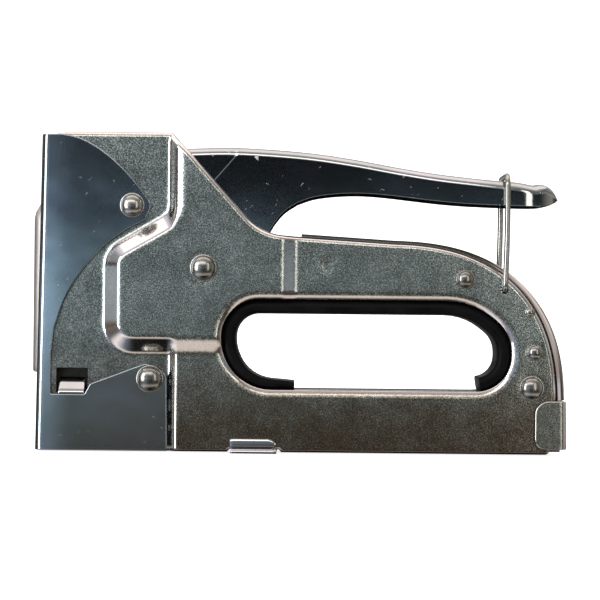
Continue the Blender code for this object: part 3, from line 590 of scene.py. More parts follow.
# %% Polished and chromed steel
def bright_steel(name, tone, second, roughness, haze, wave):
    """Buffed and nickel or chrome-plated steel: clear reflections, slow waves and hairline scratches."""
    made, tree, shader, place = blank(name, tone, 1.0, roughness)
    fine = node(tree, "TexNoise", Vector=place, Scale=1 / (0.30 * MM), Detail=2.0, Roughness=0.6)
    swell = node(tree, "TexNoise", Vector=place, Scale=1 / (14.0 * MM), Detail=1.0, Roughness=0.4)
    marks = scratches(tree, place, 0.45, 0.9, 0.225)
    more = scratches(tree, place, 0.6, -0.5, 0.22)
    both = node(tree, "Math", {"operation": "MAXIMUM"}, i0=marks, i1=more)
    cloudy = node(tree, "MapRange", Value=swell, **EVEN_NOISE, To_Min=0.0, To_Max=1.0)
    smudge = node(tree, "Mix", COLOURS, i0=cloudy, A=hex_colour(tone), B=hex_colour(second))
    worn = node(tree, "Mix", COLOURS, i0=both, A=smudge, B=hex_colour("#c0c4c8"))
    tree.links.new(worn, shader.inputs["Base Color"])
    dull = node(tree, "MapRange", Value=fine, **EVEN_NOISE, To_Min=roughness, To_Max=roughness + haze)
    scuffed = node(tree, "Math", MULTIPLY_ADD, i0=both, i1=0.07, i2=dull)
    tree.links.new(scuffed, shader.inputs["Roughness"])
    normal = node(tree, "Bump", Height=swell, Distance=wave * MM, Strength=1.0)
    normal = node(tree, "Bump", Height=fine, Distance=0.002 * MM, Strength=1.0, Normal=normal)
    normal = node(tree, "Bump", Height=both, Distance=0.01 * MM, Strength=1.0, Normal=normal)
    tree.links.new(normal, shader.inputs["Normal"])
    print(name, len(tree.nodes), "nodes")
    return made


polished_cover = bright_steel("polished_nickel_plate", "#a3adb6", "#98a5a6", 0.10, 0.05, 0.10)
chromed_lever = bright_steel("chromed_steel", "#c0c0c6", "#aab0ae", 0.07, 0.03, 0.05)
rivet_steel = bright_steel("nickel_rivet", "#a5a49e", "#8c8b84", 0.2, 0.05, 0.01)
wire_nickel = bright_steel("nickel_plated_wire", "#b4b3ae", "#a9a7a0", 0.16, 0.06, 0.0)

# %% [markdown]
# The liner is moulded in black polypropylene, whose spark-eroded mould leaves a fine matt grain. Inside
# the head there is plain cold-rolled steel with drawing lines, oiled spring wire and a rubber buffer.


# %% Plastic and rubber
def moulded(name, tone, roughness, grain_apart, depth):
    """A moulded part: one colour all through, a fine grain and slight rub marks."""
    made, tree, shader, place = blank(name, tone, 0.0, roughness)
    grain = node(tree, "TexNoise", Vector=place, Scale=1 / (grain_apart * MM), Detail=2.0, Roughness=0.5)
    rub = node(tree, "TexNoise", Vector=place, Scale=1 / (6.0 * MM), Detail=3.0, Roughness=0.6)
    marked = node(tree, "MapRange", Value=rub, **EVEN_NOISE, To_Min=0.0, To_Max=0.6)
    base = node(tree, "Mix", COLOURS, i0=marked, A=hex_colour(tone), B=hex_colour("#0d0d0f"))
    tree.links.new(base, shader.inputs["Base Color"])
    glossy, matt = roughness - 0.06, roughness + 0.12
    rough = node(tree, "MapRange", Value=rub, **EVEN_NOISE, To_Min=glossy, To_Max=matt)
    tree.links.new(rough, shader.inputs["Roughness"])
    shader.inputs["Specular IOR Level"].default_value = 0.10
    normal = node(tree, "Bump", Height=grain, Distance=depth * MM, Strength=1.0)
    tree.links.new(normal, shader.inputs["Normal"])
    print(name, len(tree.nodes), "nodes")
    return made


black_liner = moulded("black_polypropylene", "#030304", 0.44, 0.35, 0.010)
rubber_buffer = moulded("black_rubber", "#121213", 0.72, 0.5, 0.03)


# %% Plain steel and spring wire
def drawn_steel(name, tone, roughness, stretch):
    """Plain steel with the lines that rolling or drawing leaves along it."""
    made, tree, shader, place = blank(name, tone, 1.0, roughness)
    along = node(tree, "Mapping", Vector=place, Scale=stretch)
    lines = node(tree, "TexNoise", Vector=along, Scale=1 / (0.4 * MM), Detail=3.0, Roughness=0.6)
    oil = node(tree, "TexNoise", Vector=place, Scale=1 / (7.0 * MM), Detail=3.0, Roughness=0.5)
    film = node(tree, "MapRange", Value=oil, **EVEN_NOISE, To_Min=0.0, To_Max=1.0)
    base = node(tree, "Mix", COLOURS, i0=film, A=hex_colour(tone), B=hex_colour("#6f6a62"))
    tree.links.new(base, shader.inputs["Base Color"])
    glossy, matt = roughness - 0.08, roughness + 0.12
    rough = node(tree, "MapRange", Value=lines, **EVEN_NOISE, To_Min=glossy, To_Max=matt)
    tree.links.new(rough, shader.inputs["Roughness"])
    normal = node(tree, "Bump", Height=lines, Distance=0.012 * MM, Strength=1.0)
    tree.links.new(normal, shader.inputs["Normal"])
    print(name, len(tree.nodes), "nodes")
    return made


rolled_steel = drawn_steel("cold_rolled_steel", "#9a9b99", 0.34, (0.05, 1.0, 1.0))
upright_steel = drawn_steel("ground_blade_steel", "#a5a6a6", 0.28, (1.0, 1.0, 0.05))
spring_wire = drawn_steel("oiled_spring_wire", "#3c3b3b", 0.36, (1.0, 1.0, 1.0))

# %% [markdown]
# Pieces that need no new shape keep their CAD solid and only get a finish.

# %% Finishes of the inner pieces
INNER_FINISH = {
    "plunger": upright_steel,
    "driver_blade": upright_steel,
    "spring_seat": rolled_steel,
    "blade_guide": rolled_steel,
    "striker_buffer": rubber_buffer,
    "staple_channel": rolled_steel,
    "magazine_rail": rolled_steel,
    "pusher": rolled_steel,
    "pusher_rod": rolled_steel,
    "lever_lifter": rolled_steel,
    "lever_bushing": rolled_steel,
    "lever_cross_pin": rolled_steel,
    "spacer_nose_upper": rolled_steel,
    "spacer_nose_lower": rolled_steel,
    "spacer_grip_rear": rolled_steel,
    "power_spring": spring_wire,
    "lever_spring": spring_wire,
    "pusher_spring": spring_wire,
}
for name, finish in INNER_FINISH.items():
    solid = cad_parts[name]
    solid.data.materials.clear()
    solid.data.materials.append(finish)
print(len(INNER_FINISH), "inner pieces finished")

# %% [markdown]
# ## The body halves
# Each half is one sheet of 1 mm steel pressed to three levels: the nose, the grip and magazine, and the
# raised head. The levels meet in straight ramps with small rounded bends. Round the finger opening the
# metal rolls inwards, and at the outside it turns in to meet the other half. A height for every point, from
# its distance to each outline, gives all of this on one even mesh.

# %% Levels of the body
SHEET = 1.0
NOSE_LEVEL, GRIP_LEVEL, HEAD_LEVEL = 7.3, 9.4, 11.2
COVER_LEVEL = 8.6
FOOT = 0.45
RIM = 2.6
print("the head stands", HEAD_LEVEL - NOSE_LEVEL, "mm proud of the nose")


# %% Outline of the body
def back_curve(grow=0.0, stretch=0.0, start=88.0, end=2.9, steps=48):
    """The handle's back, a quarter of a superellipse, moved out by grow and at the rear also by stretch."""
    run = []
    for k in range(steps):
        angle = math.radians(start + (end - start) * k / (steps - 1))
        across, up = math.cos(angle) ** 0.8, math.sin(angle) ** 0.8
        run.append((25.0 + (52.9 + grow + stretch) * across, 13.3 + (50.4 + grow) * up))
    return run


side = even(
    filleted(
        [
            (-77.9, FOOT),
            (-76.5, 95.3),
            (-70.0, 96.6),
            (-38.6, 96.6),
            (-11.5, 66.1, 16.0),
            *back_curve(),
            (76.0, 3.4, 0.6),
            (75.6, FOOT, 1.4),
            (-4.9, FOOT),
            (-5.6, 1.25),
            (-20.5, 1.25),
            (-21.2, FOOT),
        ]
    ),
    1.1,
)
print(len(side), "points round the body")

# %% Opening, window and panel
opening = even(
    filleted(
        [
            (-23.1, 46.4, 11.2),
            (-23.1, 19.4, 15.0),
            (64.0, 19.4, 10.5),
            (64.0, 37.0, 12.0),
            (52.0, 46.4, 22.0),
        ]
    ),
    1.0,
)
head_panel = filleted(
    [
        (-39.2, 130.0),
        (-39.3, 72.2, 5.0),
        (-58.7, 61.0, 8.0),
        (-58.7, 30.0, 9.0),
        (-0.7, 30.0),
        (-0.7, 130.0),
    ]
)
window = even(filleted([(-72.9, 17.7, 0.3), (-63.4, 17.7, 0.3), (-63.4, 25.3, 0.3), (-72.9, 25.3, 0.3)]), 0.9)
WIRE_X, WIRE_Z, WIRE_HOLE = 61.8, 50.0, 1.2
round_the_wire = np.arange(0, math.tau, math.tau / 16)
wire_hole = [(WIRE_X + WIRE_HOLE * math.cos(a), WIRE_Z + WIRE_HOLE * math.sin(a)) for a in round_the_wire]
# How far each row of the opening's rim has gone in, as a share of RIM, and how many millimetres it has
# dropped: a shallow dish, then a ramp, then a tight bend inwards. The last row ends at a fixed depth
RIM_PROFILE = [(0.06, 0.01), (0.15, 0.05), (0.28, 0.12), (0.42, 0.205), (0.50, 0.27), (0.67, 0.465)]
RIM_PROFILE += [(0.84, 0.665), (0.92, 0.83), (0.97, 1.05), (1.0, 1.34), (1.0, 2.0), (1.0, None)]
RIM_END = 1.9
print(len(opening), "points round the opening")

# %% Knocks and rivet seats
# Small knocks from use, seen on the handle and the magazine: x, z, depth, radius
KNOCKS = [(8.3, 56.6, 0.30, 2.1), (4.4, 61.5, 0.06, 3.0), (-5.0, 41.0, 0.05, 2.5), (20.0, 9.0, 0.05, 3.0)]
# Each pressed seat for a rivet head: x, z, radius
SEATS = [(-28.7, 55.7, 4.9), (50.0, 53.0, 3.1), (71.2, 31.2, 2.5), (70.3, 20.5, 3.8)]
print(len(KNOCKS), "knocks,", len(SEATS), "seats")


# %% Height of the body
def body_level(points):
    """Half-width of the body's outer face at each (x, z)."""
    p = np.array(points, float)
    level = NOSE_LEVEL + (GRIP_LEVEL - NOSE_LEVEL) * slope(p[:, 0] + 38.9, 2.0, 0.5)
    level = level + (HEAD_LEVEL - level) * slope(inside(p, head_panel), 4.5, 0.8)
    for x, z, radius in SEATS:
        level -= 0.06 * (1 - slope(np.hypot(p[:, 0] - x, p[:, 1] - z) - radius, 0.4, 0.15))
    for x, z, depth, wide in KNOCKS:
        level -= depth * np.exp(-((p[:, 0] - x) ** 2 + (p[:, 1] - z) ** 2) / wide**2)
    return level


def body_busy(points):
    """Where the height changes within 1.2 mm, so the mesh has to be fine."""
    p = np.array(points, float)
    steps = [body_level(p + shift) for shift in ((1.2, 0), (-1.2, 0), (0, 1.2), (0, -1.2))]
    return (np.abs(steps[0] - steps[1]) + np.abs(steps[2] - steps[3])) > 0.01


def turned_in(x, z, level, radius):
    """How far from the middle the edge of the body ends at (x, z)."""
    on_head = z > 94.5 and x < -39.4
    on_grip = x > -4.2 and z > 17.4
    if on_head or on_grip:
        return 0.15
    if z < 3.0:
        return level - radius - 0.15
    return level - radius - 0.4


print("at the grip the body is", round(float(body_level([(20.0, 60.0)])[0]), 2), "mm from the middle")


# %% One half of the body
def body_skin():
    built = bmesh.new()
    radius = np.array([1.0 if z < 3 else 1.1 if x < -70 else 1.6 for x, z in side])
    contour = offset(side, -radius)
    dish = even(offset(opening, RIM), 0.9)
    ring = offset(dish, -RIM)
    corners, faces, loops = fill(contour, [dish, window, wire_hole], 0.72, body_busy)
    levels = body_level(corners)
    made = [built.verts.new((x, -y, z)) for (x, z), y in zip(corners, levels)]
    for face in faces:
        built.faces.new([made[i] for i in face])

    out = normals(side)
    rim = [made[i] for i in loops[0]]
    edge_levels = levels[loops[0]]
    for angle in (5, 18, 36, 54, 72, 90, None):
        row = []
        for i, (x, z) in enumerate(side):
            r, level = radius[i], edge_levels[i]
            if angle is None:
                row.append(built.verts.new((x, -turned_in(x, z, level, r), z)))
                continue
            a = math.radians(angle)
            move = r * (math.sin(a) - 1)
            y = level - r * (1 - math.cos(a))
            row.append(built.verts.new((x + out[i, 0] * move, -y, z + out[i, 1] * move)))
        ring_faces(built, rim, row)
        rim = row

    rim = [made[i] for i in loops[1]]
    edge_levels = levels[loops[1]]
    for move, drop in RIM_PROFILE:
        row = []
        for (x0, z0), (x1, z1), level in zip(dish, ring, edge_levels):
            y = RIM_END if drop is None else level - drop
            row.append(built.verts.new((x0 + (x1 - x0) * move, -y, z0 + (z1 - z0) * move)))
        ring_faces(built, rim, row)
        rim = row
    outwards(built)
    return built


near_skin = body_skin()
far_skin = mirrored(near_skin)
finished("body_half_near", near_skin, "body", ["shell_near"], zinc_body, SHEET, 0.0, 42)
finished("body_half_far", far_skin, "body", ["shell_far"], zinc_body, SHEET, 0.0, 42)

# %% [markdown]
# ## The nose cover
# A second sheet wraps the nose from one side to the other. It is cut flat and then folded, so it is drawn
# the same way: the flat blank first, then every point is carried round the fold.


# %% Folding a blank
def folded(outline, edge_x, half, radius, spacing, facing=-1, crown=0.0):
    """Both wings of a blank folded round an upright edge at edge_x(z). The outline is the near wing's.
    Pressing leaves the first 9 mm beside the fold falling away by crown."""
    flat_half = half - radius
    arc = radius * math.pi / 2

    def unroll(x, z):
        return flat_half + arc + facing * -1 * (x - edge_x(z)) - radius

    wing = [(unroll(x, z), z) for x, z in outline]
    blank_edge = even([(0.0, wing[-1][1]), (0.0, wing[0][1])], 0.9, closed=False)
    loop = even([*blank_edge, *wing], 0.9)

    def inset(distance):
        """The loop moved in from the cut edge, but not from the middle plane, where the wings join."""
        moved = offset(loop, -distance)
        return [(0.0 if u < 1e-6 else max(0.0, v), z) for (u, _), (v, z) in zip(loop, moved)]

    def busy(points):
        u = np.array(points)[:, 0]
        return (u > flat_half - 1.0) & (u < flat_half + arc + 1.0)

    def bent(u, z, drop=0.0):
        """Where the blank's point (u, z) goes, pushed into the sheet by drop."""
        if u <= flat_half:
            x, y, lean = 0.0, u * (flat_half - crown) / flat_half, 0.0
        elif u <= flat_half + arc:
            turn = lean = (u - flat_half) / radius
            x, y = radius * (1 - math.cos(turn)), flat_half + radius * math.sin(turn)
        else:
            x, y, lean = radius + u - flat_half - arc, half, math.pi / 2
        if u > flat_half:
            y -= crown * max(0.0, 1 - (u - flat_half) / (arc + 9.0)) ** 2
        return x + drop * math.cos(lean), y - drop * math.sin(lean)

    corners, faces, loops = fill(inset(0.34), [], spacing, busy)
    built = bmesh.new()
    for side_sign in (-1, 1):

        def vert(u, z, drop=0.0):
            x, y = bent(u, z, drop)
            return built.verts.new((edge_x(z) - facing * x, side_sign * y, z))

        made = [vert(u, z) for u, z in corners]
        for face in faces:
            built.faces.new([made[i] for i in face])
        rim = [made[i] for i in loops[0]]
        for distance, drop in ((0.30, 0.0), (0.12, 0.07), (0.03, 0.18), (0.0, 0.34)):
            row = [vert(u, z, drop if u > 0.5 else 0.0) for u, z in inset(distance)]
            ring_faces(built, rim, row)
            rim = row
    bmesh.ops.remove_doubles(built, verts=built.verts[:], dist=1e-3)
    bmesh.ops.recalc_face_normals(built, faces=built.faces[:])
    lean = sum(f.normal.x * f.calc_area() for f in built.faces if abs(f.normal.x) > 0.9)
    if (lean > 0) != (facing > 0):
        bmesh.ops.reverse_faces(built, faces=built.faces[:])
    return built


# %% Nose cover
def front_x(z):
    return -79.3 + 1.4 / 96.0 * z


upper_points = [(-71.6, 95.7), (-66.2, 94.5), (-60.2, 91.3), (-54.1, 86.3), (-49.4, 81.2), (-46.6, 77.6)]
lower_points = [(-46.6, 69.9), (-52.4, 66.8), (-58.4, 62.3), (-64.6, 55.5), (-70.2, 46.5), (-73.6, 36.9)]
cover_upper, cover_lower = smooth(upper_points), smooth(lower_points)
cover_wing = filleted(
    [
        (front_x(95.7), 95.7),
        *cover_upper,
        (-44.3, 74.6, 3.0),
        *cover_lower,
        (-74.5, 29.0, 8.0),
        (-74.5, 17.4, 0.4),
        (-64.3, 17.4, 0.6),
        (-62.7, 20.5, 1.5),
        (-45.8, 26.9, 2.0),
        (-39.6, 24.0, 3.0),
        (-39.25, FOOT),
        (front_x(FOOT), FOOT),
    ]
)
cover = folded(cover_wing, front_x, COVER_LEVEL, 1.9, 0.75, crown=0.6)
finished("nose_cover_sheet", cover, "body", ["nose_cover"], polished_cover, SHEET, 0.0, 50)


# %% [markdown]
# The cover is held by a tongue in the window on each side, curled in through the body. A thin dark plate
# stands behind both windows as painted shade, so nothing shows through them.


# %% Tongues of the nose cover
def window_tab(sign):
    """The tongue at the window's foot, curled in through the body to lock the cover."""
    built = bmesh.new()
    arc = [(COVER_LEVEL, 17.4), (8.55, 18.0), (8.3, 18.6), (7.8, 19.25), (7.1, 20.1), (6.4, 20.95)]
    arc += [(5.8, 21.65), (5.3, 22.1), (4.7, 22.35), (4.0, 22.4)]
    columns = np.linspace(-72.1, -64.4, 14)
    rows = []
    for y, z in arc:
        pull = 0.35 * max(0.0, z - 20.5)
        mid = columns.mean()
        rows.append([built.verts.new((mid + (x - mid) * (1 - 0.03 * pull), sign * y, z)) for x in columns])
    for low, high in zip(rows, rows[1:]):
        ring_faces(built, low, high, closed=False)
    outwards(built, near=sign < 0)
    return built


for sign, where in ((-1, "near"), (1, "far")):
    finished("window_tab_" + where, window_tab(sign), "body", None, chromed_lever, 0.9, 0.2)

# %% Dark plate of painted shade behind the windows
shade_plate = bmesh.new()
corners = [(-73.9, 16.7), (-62.5, 16.7), (-62.5, 30.2), (-73.9, 30.2)]
shade_plate.faces.new([shade_plate.verts.new((x, -0.25, z)) for x, z in corners])
finished("window_shade_plate", shade_plate, "body", None, spring_wire, 0.5, 0.0)

# %% [markdown]
# A hollow rib stands up the middle of the nose. It kept the matt face it had before polishing.

# %% Rib up the nose
rib_line = [(-80.0, 23.8), (-80.75, 24.2), (-80.75, 70.5), (-80.3, 72.3), (-78.4, 75.3)]
built = bmesh.new()
rib_rows = []
for x, z in even(rib_line, 2.0, closed=False):
    reach = front_x(z) - x
    depth = [(front_x(z), 4.8), (x + 0.62 * reach, 4.4), (x + 0.3 * reach, 3.7), (x + 0.08 * reach, 2.6)]
    depth.append((x, 1.2))
    ring = [(a, -b) for a, b in depth] + [(a, b) for a, b in depth[::-1]]
    rib_rows.append([built.verts.new((a, b, z)) for a, b in ring])
for low, high in zip(rib_rows, rib_rows[1:]):
    ring_faces(built, low, high)
built.faces.new(rib_rows[0])
built.faces.new(rib_rows[-1])
bmesh.ops.recalc_face_normals(built, faces=built.faces[:])
finished("nose_rib", built, "body", None, zinc_blasted, 0.0, 0.0, 60)

# %% [markdown]
# ## The lever
# The lever is a channel of chromed steel, open below. Its top is one rounded bend from side to side. Ahead
# of a diagonal crease the channel steps in, so that its front end fits between the two body halves.

# %% Lever outline
LEVER_HALF, NECK_STEP, LEVER_BEND = 8.9, 0.45, 2.5
TAIL_START, TAIL_RUN, TAIL_TIP = 63.0, 15.9, 78.6
top_points = [(-35.6, 91.7), (-19.4, 92.1), (0.0, 91.0), (15.0, 89.1), (30.0, 86.5), (42.0, 84.7)]
top_points += [(54.0, 83.4), (60.0, 82.9)]
tail_points = [(60.0, 82.9), (65.5, 82.5), (68.6, 82.0), (70.6, 81.7), (72.4, 82.0), (74.4, 81.6)]
tail_points += [(76.2, 80.3), (77.4, 78.7), (78.3, 77.2)]
under_points = [(77.3, 76.4), (75.0, 75.7), (70.5, 75.3), (54.0, 75.7), (42.0, 76.5), (24.0, 78.4)]
under_points += [(14.0, 78.6), (5.0, 77.6), (-0.6, 75.8)]
lever_top = smooth(top_points)
lever_tail = smooth(tail_points, 5)[1:]
lever_under = smooth(under_points)
lever_arch = smooth([(-0.6, 75.8), (-4.5, 73.2), (-7.4, 69.9), (-9.4, 66.6)])[1:]
lever_root = [(-14.0, 58.0), (-18.0, 48.5, 7.0), (-37.5, 46.5, 8.0), (-36.0, 62.0)]
lever_run = even([*lever_top, *lever_tail], 0.6, closed=False)
lever_side = [*lever_run, *even(filleted([*lever_under, *lever_arch, *lever_root]), 1.2, closed=False)]
print(len(lever_side), "points round the lever")

# %% [markdown]
# The crease is a step only a quarter of a millimetre wide, so the mesh gets four lines of points along it.

# %% Crease
CREASE_WIDE = 0.24
crease_foot, crease_head = np.array([-25.6, 82.1]), np.array([-19.0, 89.7])
crease_along = (crease_head - crease_foot) / math.dist(crease_head, crease_foot)
crease_across = np.array([-crease_along[1], crease_along[0]])
crease_points = []
for aside in (-0.22, -0.05, 0.29, 0.46):
    for t in np.arange(-30, 14, 0.3):
        crease_points.append(tuple(crease_foot + crease_along * t + crease_across * aside))


def lever_level(points):
    """Half-width of the lever: full behind the crease, a step narrower ahead of it, drawn in at the tail."""
    p = np.array(points, float)
    level = LEVER_HALF - NECK_STEP * slope((p - crease_foot) @ crease_across, CREASE_WIDE, 0.05)
    tail = np.clip((p[:, 0] - TAIL_START) / TAIL_RUN, 0, 0.99)
    return level * (1 - tail**3) ** 0.5


print(len(crease_points), "points along the crease")

# %% [markdown]
# Both cheeks are filled faces, joined over the top by rows of quads that follow the bend. The edge below is
# left open, as on the real channel.


# %% Lever channel
def lever_skin():
    built = bmesh.new()
    count = len(lever_run)
    radius = np.zeros(len(lever_side))
    for i, (x, _) in enumerate(lever_run):
        rounder = LEVER_BEND + 0.5 * float(slope(x - 54.0, 14.0, 3.0))
        radius[i] = min(rounder, max(0.25, 0.52 * (TAIL_TIP - x)))
    contour = offset(lever_side, -radius)

    def busy(points):
        p = np.array(points, float)
        steps = [lever_level(p + shift) for shift in ((0.9, 0), (-0.9, 0))]
        return np.abs(steps[0] - steps[1]) > 0.01

    corners, faces, loops = fill(contour, [], 0.6, busy, crease_points)
    levels = lever_level(corners)
    out = normals(lever_side)
    edges = {}
    for sign in (-1, 1):
        made = [built.verts.new((x, sign * y, z)) for (x, z), y in zip(corners, levels)]
        for face in faces:
            built.faces.new([made[i] for i in face])
        rim = [made[i] for i in loops[0][:count]]
        for angle in (2, 8, 16, 25, 35, 46, 57, 68, 79, 90):
            a = math.radians(angle)
            row = []
            for i in range(count):
                x, z = lever_side[i]
                move = radius[i] * (math.sin(a) - 1)
                y = levels[loops[0][i]] - radius[i] * (1 - math.cos(a))
                row.append(built.verts.new((x + out[i, 0] * move, sign * y, z + out[i, 1] * move)))
            ring_faces(built, rim, row, closed=False)
            rim = row
        edges[sign] = rim
    rim = edges[-1]
    for t in (0.2, 0.4, 0.6, 0.8):
        row = []
        for near_vert, far_vert in zip(edges[-1], edges[1]):
            place = near_vert.co.lerp(far_vert.co, t)
            place.z += 0.35 * math.sin(math.pi * t)
            row.append(built.verts.new(place))
        ring_faces(built, rim, row, closed=False)
        rim = row
    ring_faces(built, rim, edges[1], closed=False)
    bmesh.ops.recalc_face_normals(built, faces=built.faces[:])
    lean = sum(f.normal.z * f.calc_area() for f in built.faces if f.normal.z**2 > 0.8)
    if lean < 0:
        bmesh.ops.reverse_faces(built, faces=built.faces[:])
    return built


finished("lever_channel", lever_skin(), "lever", ["lever"], chromed_lever, SHEET, 0.42, 50)

# %% [markdown]
# ## Swept pieces
# The liner, the spine strip and the wire are each one section carried along a path. The liner is a moulded
# strip pressed over the opening's rolled rim, with its ends cut apart at the bottom.


# %% Sweeps
def swept(path, normal_out, section, closed_ends=True):
    """Carries a section of (out, y) points along a path of (x, z), with out along each normal."""
    built = bmesh.new()
    rows = []
    for (x, z), (nx, nz) in zip(path, normal_out):
        row = section(x, z) if callable(section) else section
        rows.append([built.verts.new((x + nx * out, y, z + nz * out)) for out, y in row])
    for low, high in zip(rows, rows[1:]):
        ring_faces(built, low, high)
    if closed_ends:
        built.faces.new(rows[0])
        built.faces.new(rows[-1])
    bmesh.ops.recalc_face_normals(built, faces=built.faces[:])
    return built


# %% Liner
ring = list(zip(opening, normals(opening)))
start = min(range(len(ring)), key=lambda i: math.dist(ring[i][0], (-1.4, 19.4)))
stop = min(range(len(ring)), key=lambda i: math.dist(ring[i][0], (54.6, 19.7)))
going_left = ring[(start + 3) % len(ring)][0][0] < ring[start][0][0]
step = 1 if going_left else -1
liner_run = [ring[start]]
i = start
while i != stop:
    i = (i + step) % len(ring)
    liner_run.append(ring[i])
half_section = [(-4.2, 0.0), (-4.25, 4.0), (-4.15, 6.6), (-3.9, 7.5), (-3.4, 8.1), (-2.8, 8.35)]
half_section += [(-1.6, 8.3), (-0.9, 8.0), (-0.35, 7.4), (0.25, 6.5), (0.25, 0.0)]
liner_section = [(o, -y) for o, y in half_section] + [(o, y) for o, y in half_section[-2:0:-1]]
travel = np.cumsum([0.0] + [math.dist(a[0], b[0]) for a, b in zip(liner_run, liner_run[1:])])
THINNEST, THIN_RUN = 0.58, 24.0
thin = [THINNEST + (1 - THINNEST) * min(1.0, t / THIN_RUN) ** 0.8 for t in travel]


def liner_row(x, z):
    """The section at a point of the run: the strip was skived thinner towards its front end."""
    nearest = min(range(len(liner_run)), key=lambda k: math.dist(liner_run[k][0], (x, z)))
    return [(out * thin[nearest] if out < -1 else out, y) for out, y in liner_section]


liner = swept([p for p, _ in liner_run], [n for _, n in liner_run], liner_row)
finished("opening_liner", liner, "body", ["grip_liner"], black_liner, 0.0, 0.25, 60)

# %% Spine strip
inner_back = [(0.6, 65.7), *back_curve(0.3, 0.0)]
outer_back = [(0.6, 66.3), *back_curve(0.9, 2.1)]
inner_back.append((inner_back[-1][0] + 0.05, 16.85))
outer_back.append((outer_back[-1][0] + 0.1, 16.85))
built = bmesh.new()
spine_rows = []
for (x0, z0), (x1, z1) in zip(inner_back, outer_back):
    # The strip's edge is nearly square on top and well rounded towards the rear.
    full = min(1.0, max(0.0, (x0 - 48.0) / 22.0))
    square = [(0.0, -7.4), (0.35, -7.4), (0.60, -7.3), (0.82, -7.05), (0.97, -6.6), (1.0, -3.0)]
    rounded = [(0.0, -8.6), (0.30, -8.1), (0.56, -7.3), (0.78, -6.2), (0.93, -4.6), (1.0, -2.4)]
    across = [(a[0] + (b[0] - a[0]) * full, a[1] + (b[1] - a[1]) * full) for a, b in zip(square, rounded)]
    across = [*across, (1.01, 0.0)] + [(t, -y) for t, y in across[::-1]]
    spine_rows.append([built.verts.new((x0 + (x1 - x0) * t, y, z0 + (z1 - z0) * t)) for t, y in across])
for low, high in zip(spine_rows, spine_rows[1:]):
    ring_faces(built, low, high)
built.faces.new(spine_rows[0])
built.faces.new(spine_rows[-1])
bmesh.ops.recalc_face_normals(built, faces=built.faces[:])
finished("spine_strip", built, "body", ["grip_spine"], zinc_spine, 0.0, 0.0, 40)

# %% [markdown]
# The lock is one length of nickel-plated spring wire: a peg into each side, a leg up past the lever and a
# crossbar over its tail. Bending leaves each leg a little bowed.


# %% Lock wire
WIRE_RADIUS, FOOT_BEND, TOP_BEND = 0.85, 1.6, 3.2


def wire_points():
    """The wire's middle line, from its upper end on the far side round to the near side."""
    x, z, reach, leg, peg_end = WIRE_X, WIRE_Z, 34.35, 10.6, 7.6
    half = [(y, z) for y in np.linspace(peg_end, leg - FOOT_BEND, 3)]
    for a in np.linspace(0.2, math.pi / 2, 7):
        half.append((leg - FOOT_BEND + FOOT_BEND * math.sin(a), z + FOOT_BEND - FOOT_BEND * math.cos(a)))
    half += [(leg, h) for h in np.linspace(z + 3, z + reach - 4.2, 12)]
    top = z + reach
    for a in np.linspace(0, math.pi / 2, 8):
        half.append((leg - TOP_BEND + TOP_BEND * math.cos(a), top - TOP_BEND + TOP_BEND * math.sin(a)))
    half += [(4.5, top), (2.0, top)]
    run = []
    for y, h in [(-y, h) for y, h in half] + half[::-1]:
        up = (h - z) / reach
        run.append((x + 0.5 * up + 0.25 * math.sin(up * math.pi), y, h))
    return run


curve = bpy.data.curves.new("lock_wire_run", "CURVE")
curve.dimensions = "3D"
curve.bevel_depth = WIRE_RADIUS * MM
curve.bevel_resolution = 6
curve.use_fill_caps = True
run = curve.splines.new("POLY")
points = wire_points()
run.points.add(len(points) - 1)
for point, place in zip(run.points, points):
    point.co = (*(Vector(place) * MM), 1.0)
curve.materials.append(wire_nickel)
lock = bpy.data.objects.new("lock_wire_run", curve)
bpy.context.scene.collection.objects.link(lock)
run.use_smooth = True
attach(lock, "lock")
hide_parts("lock_wire")
print("wire", len(points), "points")

# %% [markdown]
# ## Rivets
# Each rivet goes right through and was closed by a spinning tool, which leaves a low dome over a thin
# flat collar. They are turned about their own axes.


# %% Rivets
RIVETS = {
    "rivet_nose_upper": (-50.4, 74.35, COVER_LEVEL, 3.7, 1.9),
    "rivet_nose_lower": (-44.6, 22.2, COVER_LEVEL, 4.1, 2.0),
    "rivet_lever_pivot": (-28.7, 55.7, HEAD_LEVEL, 4.0, 2.0),
    "rivet_grip_front": (50.0, 53.0, GRIP_LEVEL, 2.8, 1.4),
    "rivet_grip_small": (69.5, 43.3, GRIP_LEVEL, 1.5, 0.7),
    "rivet_grip_middle": (71.2, 31.2, GRIP_LEVEL, 2.4, 1.2),
    "rivet_grip_rear": (70.3, 20.5, GRIP_LEVEL, 3.7, 1.8),
}


def rivet_head(x, z, clamped, head, height):
    """Both heads of a rivet and the shank between them, turned about the rivet's axis."""
    foot = clamped + 0.05
    collar = 0.16 * height + 0.1
    dome = head * 0.86
    profile = [(1.2, foot - 1.6), (1.2, foot), (head - 0.15, foot), (head, foot + 0.12)]
    profile += [(head, foot + collar - 0.1), (head - 0.12, foot + collar), (dome + 0.08, foot + collar)]
    rise = clamped + 0.3 + height - foot - collar
    profile += [
        (dome * math.cos(a), foot + collar + rise * math.sin(a)) for a in np.linspace(0.12, math.pi / 2, 10)
    ]
    built = bmesh.new()
    for sign in (-1, 1):
        rows = []
        for radius, y in profile[:-1]:
            angles = np.arange(0, math.tau, math.tau / 40)
            turn = [(radius * math.cos(a), radius * math.sin(a)) for a in angles]
            rows.append([built.verts.new((x + dx, sign * y, z + dz)) for dx, dz in turn])
        for low, high in zip(rows, rows[1:]):
            ring_faces(built, low, high)
        built.faces.new(rows[0])
        tip = built.verts.new((x, sign * profile[-1][1], z))
        for i in range(len(rows[-1])):
            built.faces.new((rows[-1][i - 1], rows[-1][i], tip))
    bmesh.ops.recalc_face_normals(built, faces=built.faces[:])
    return built


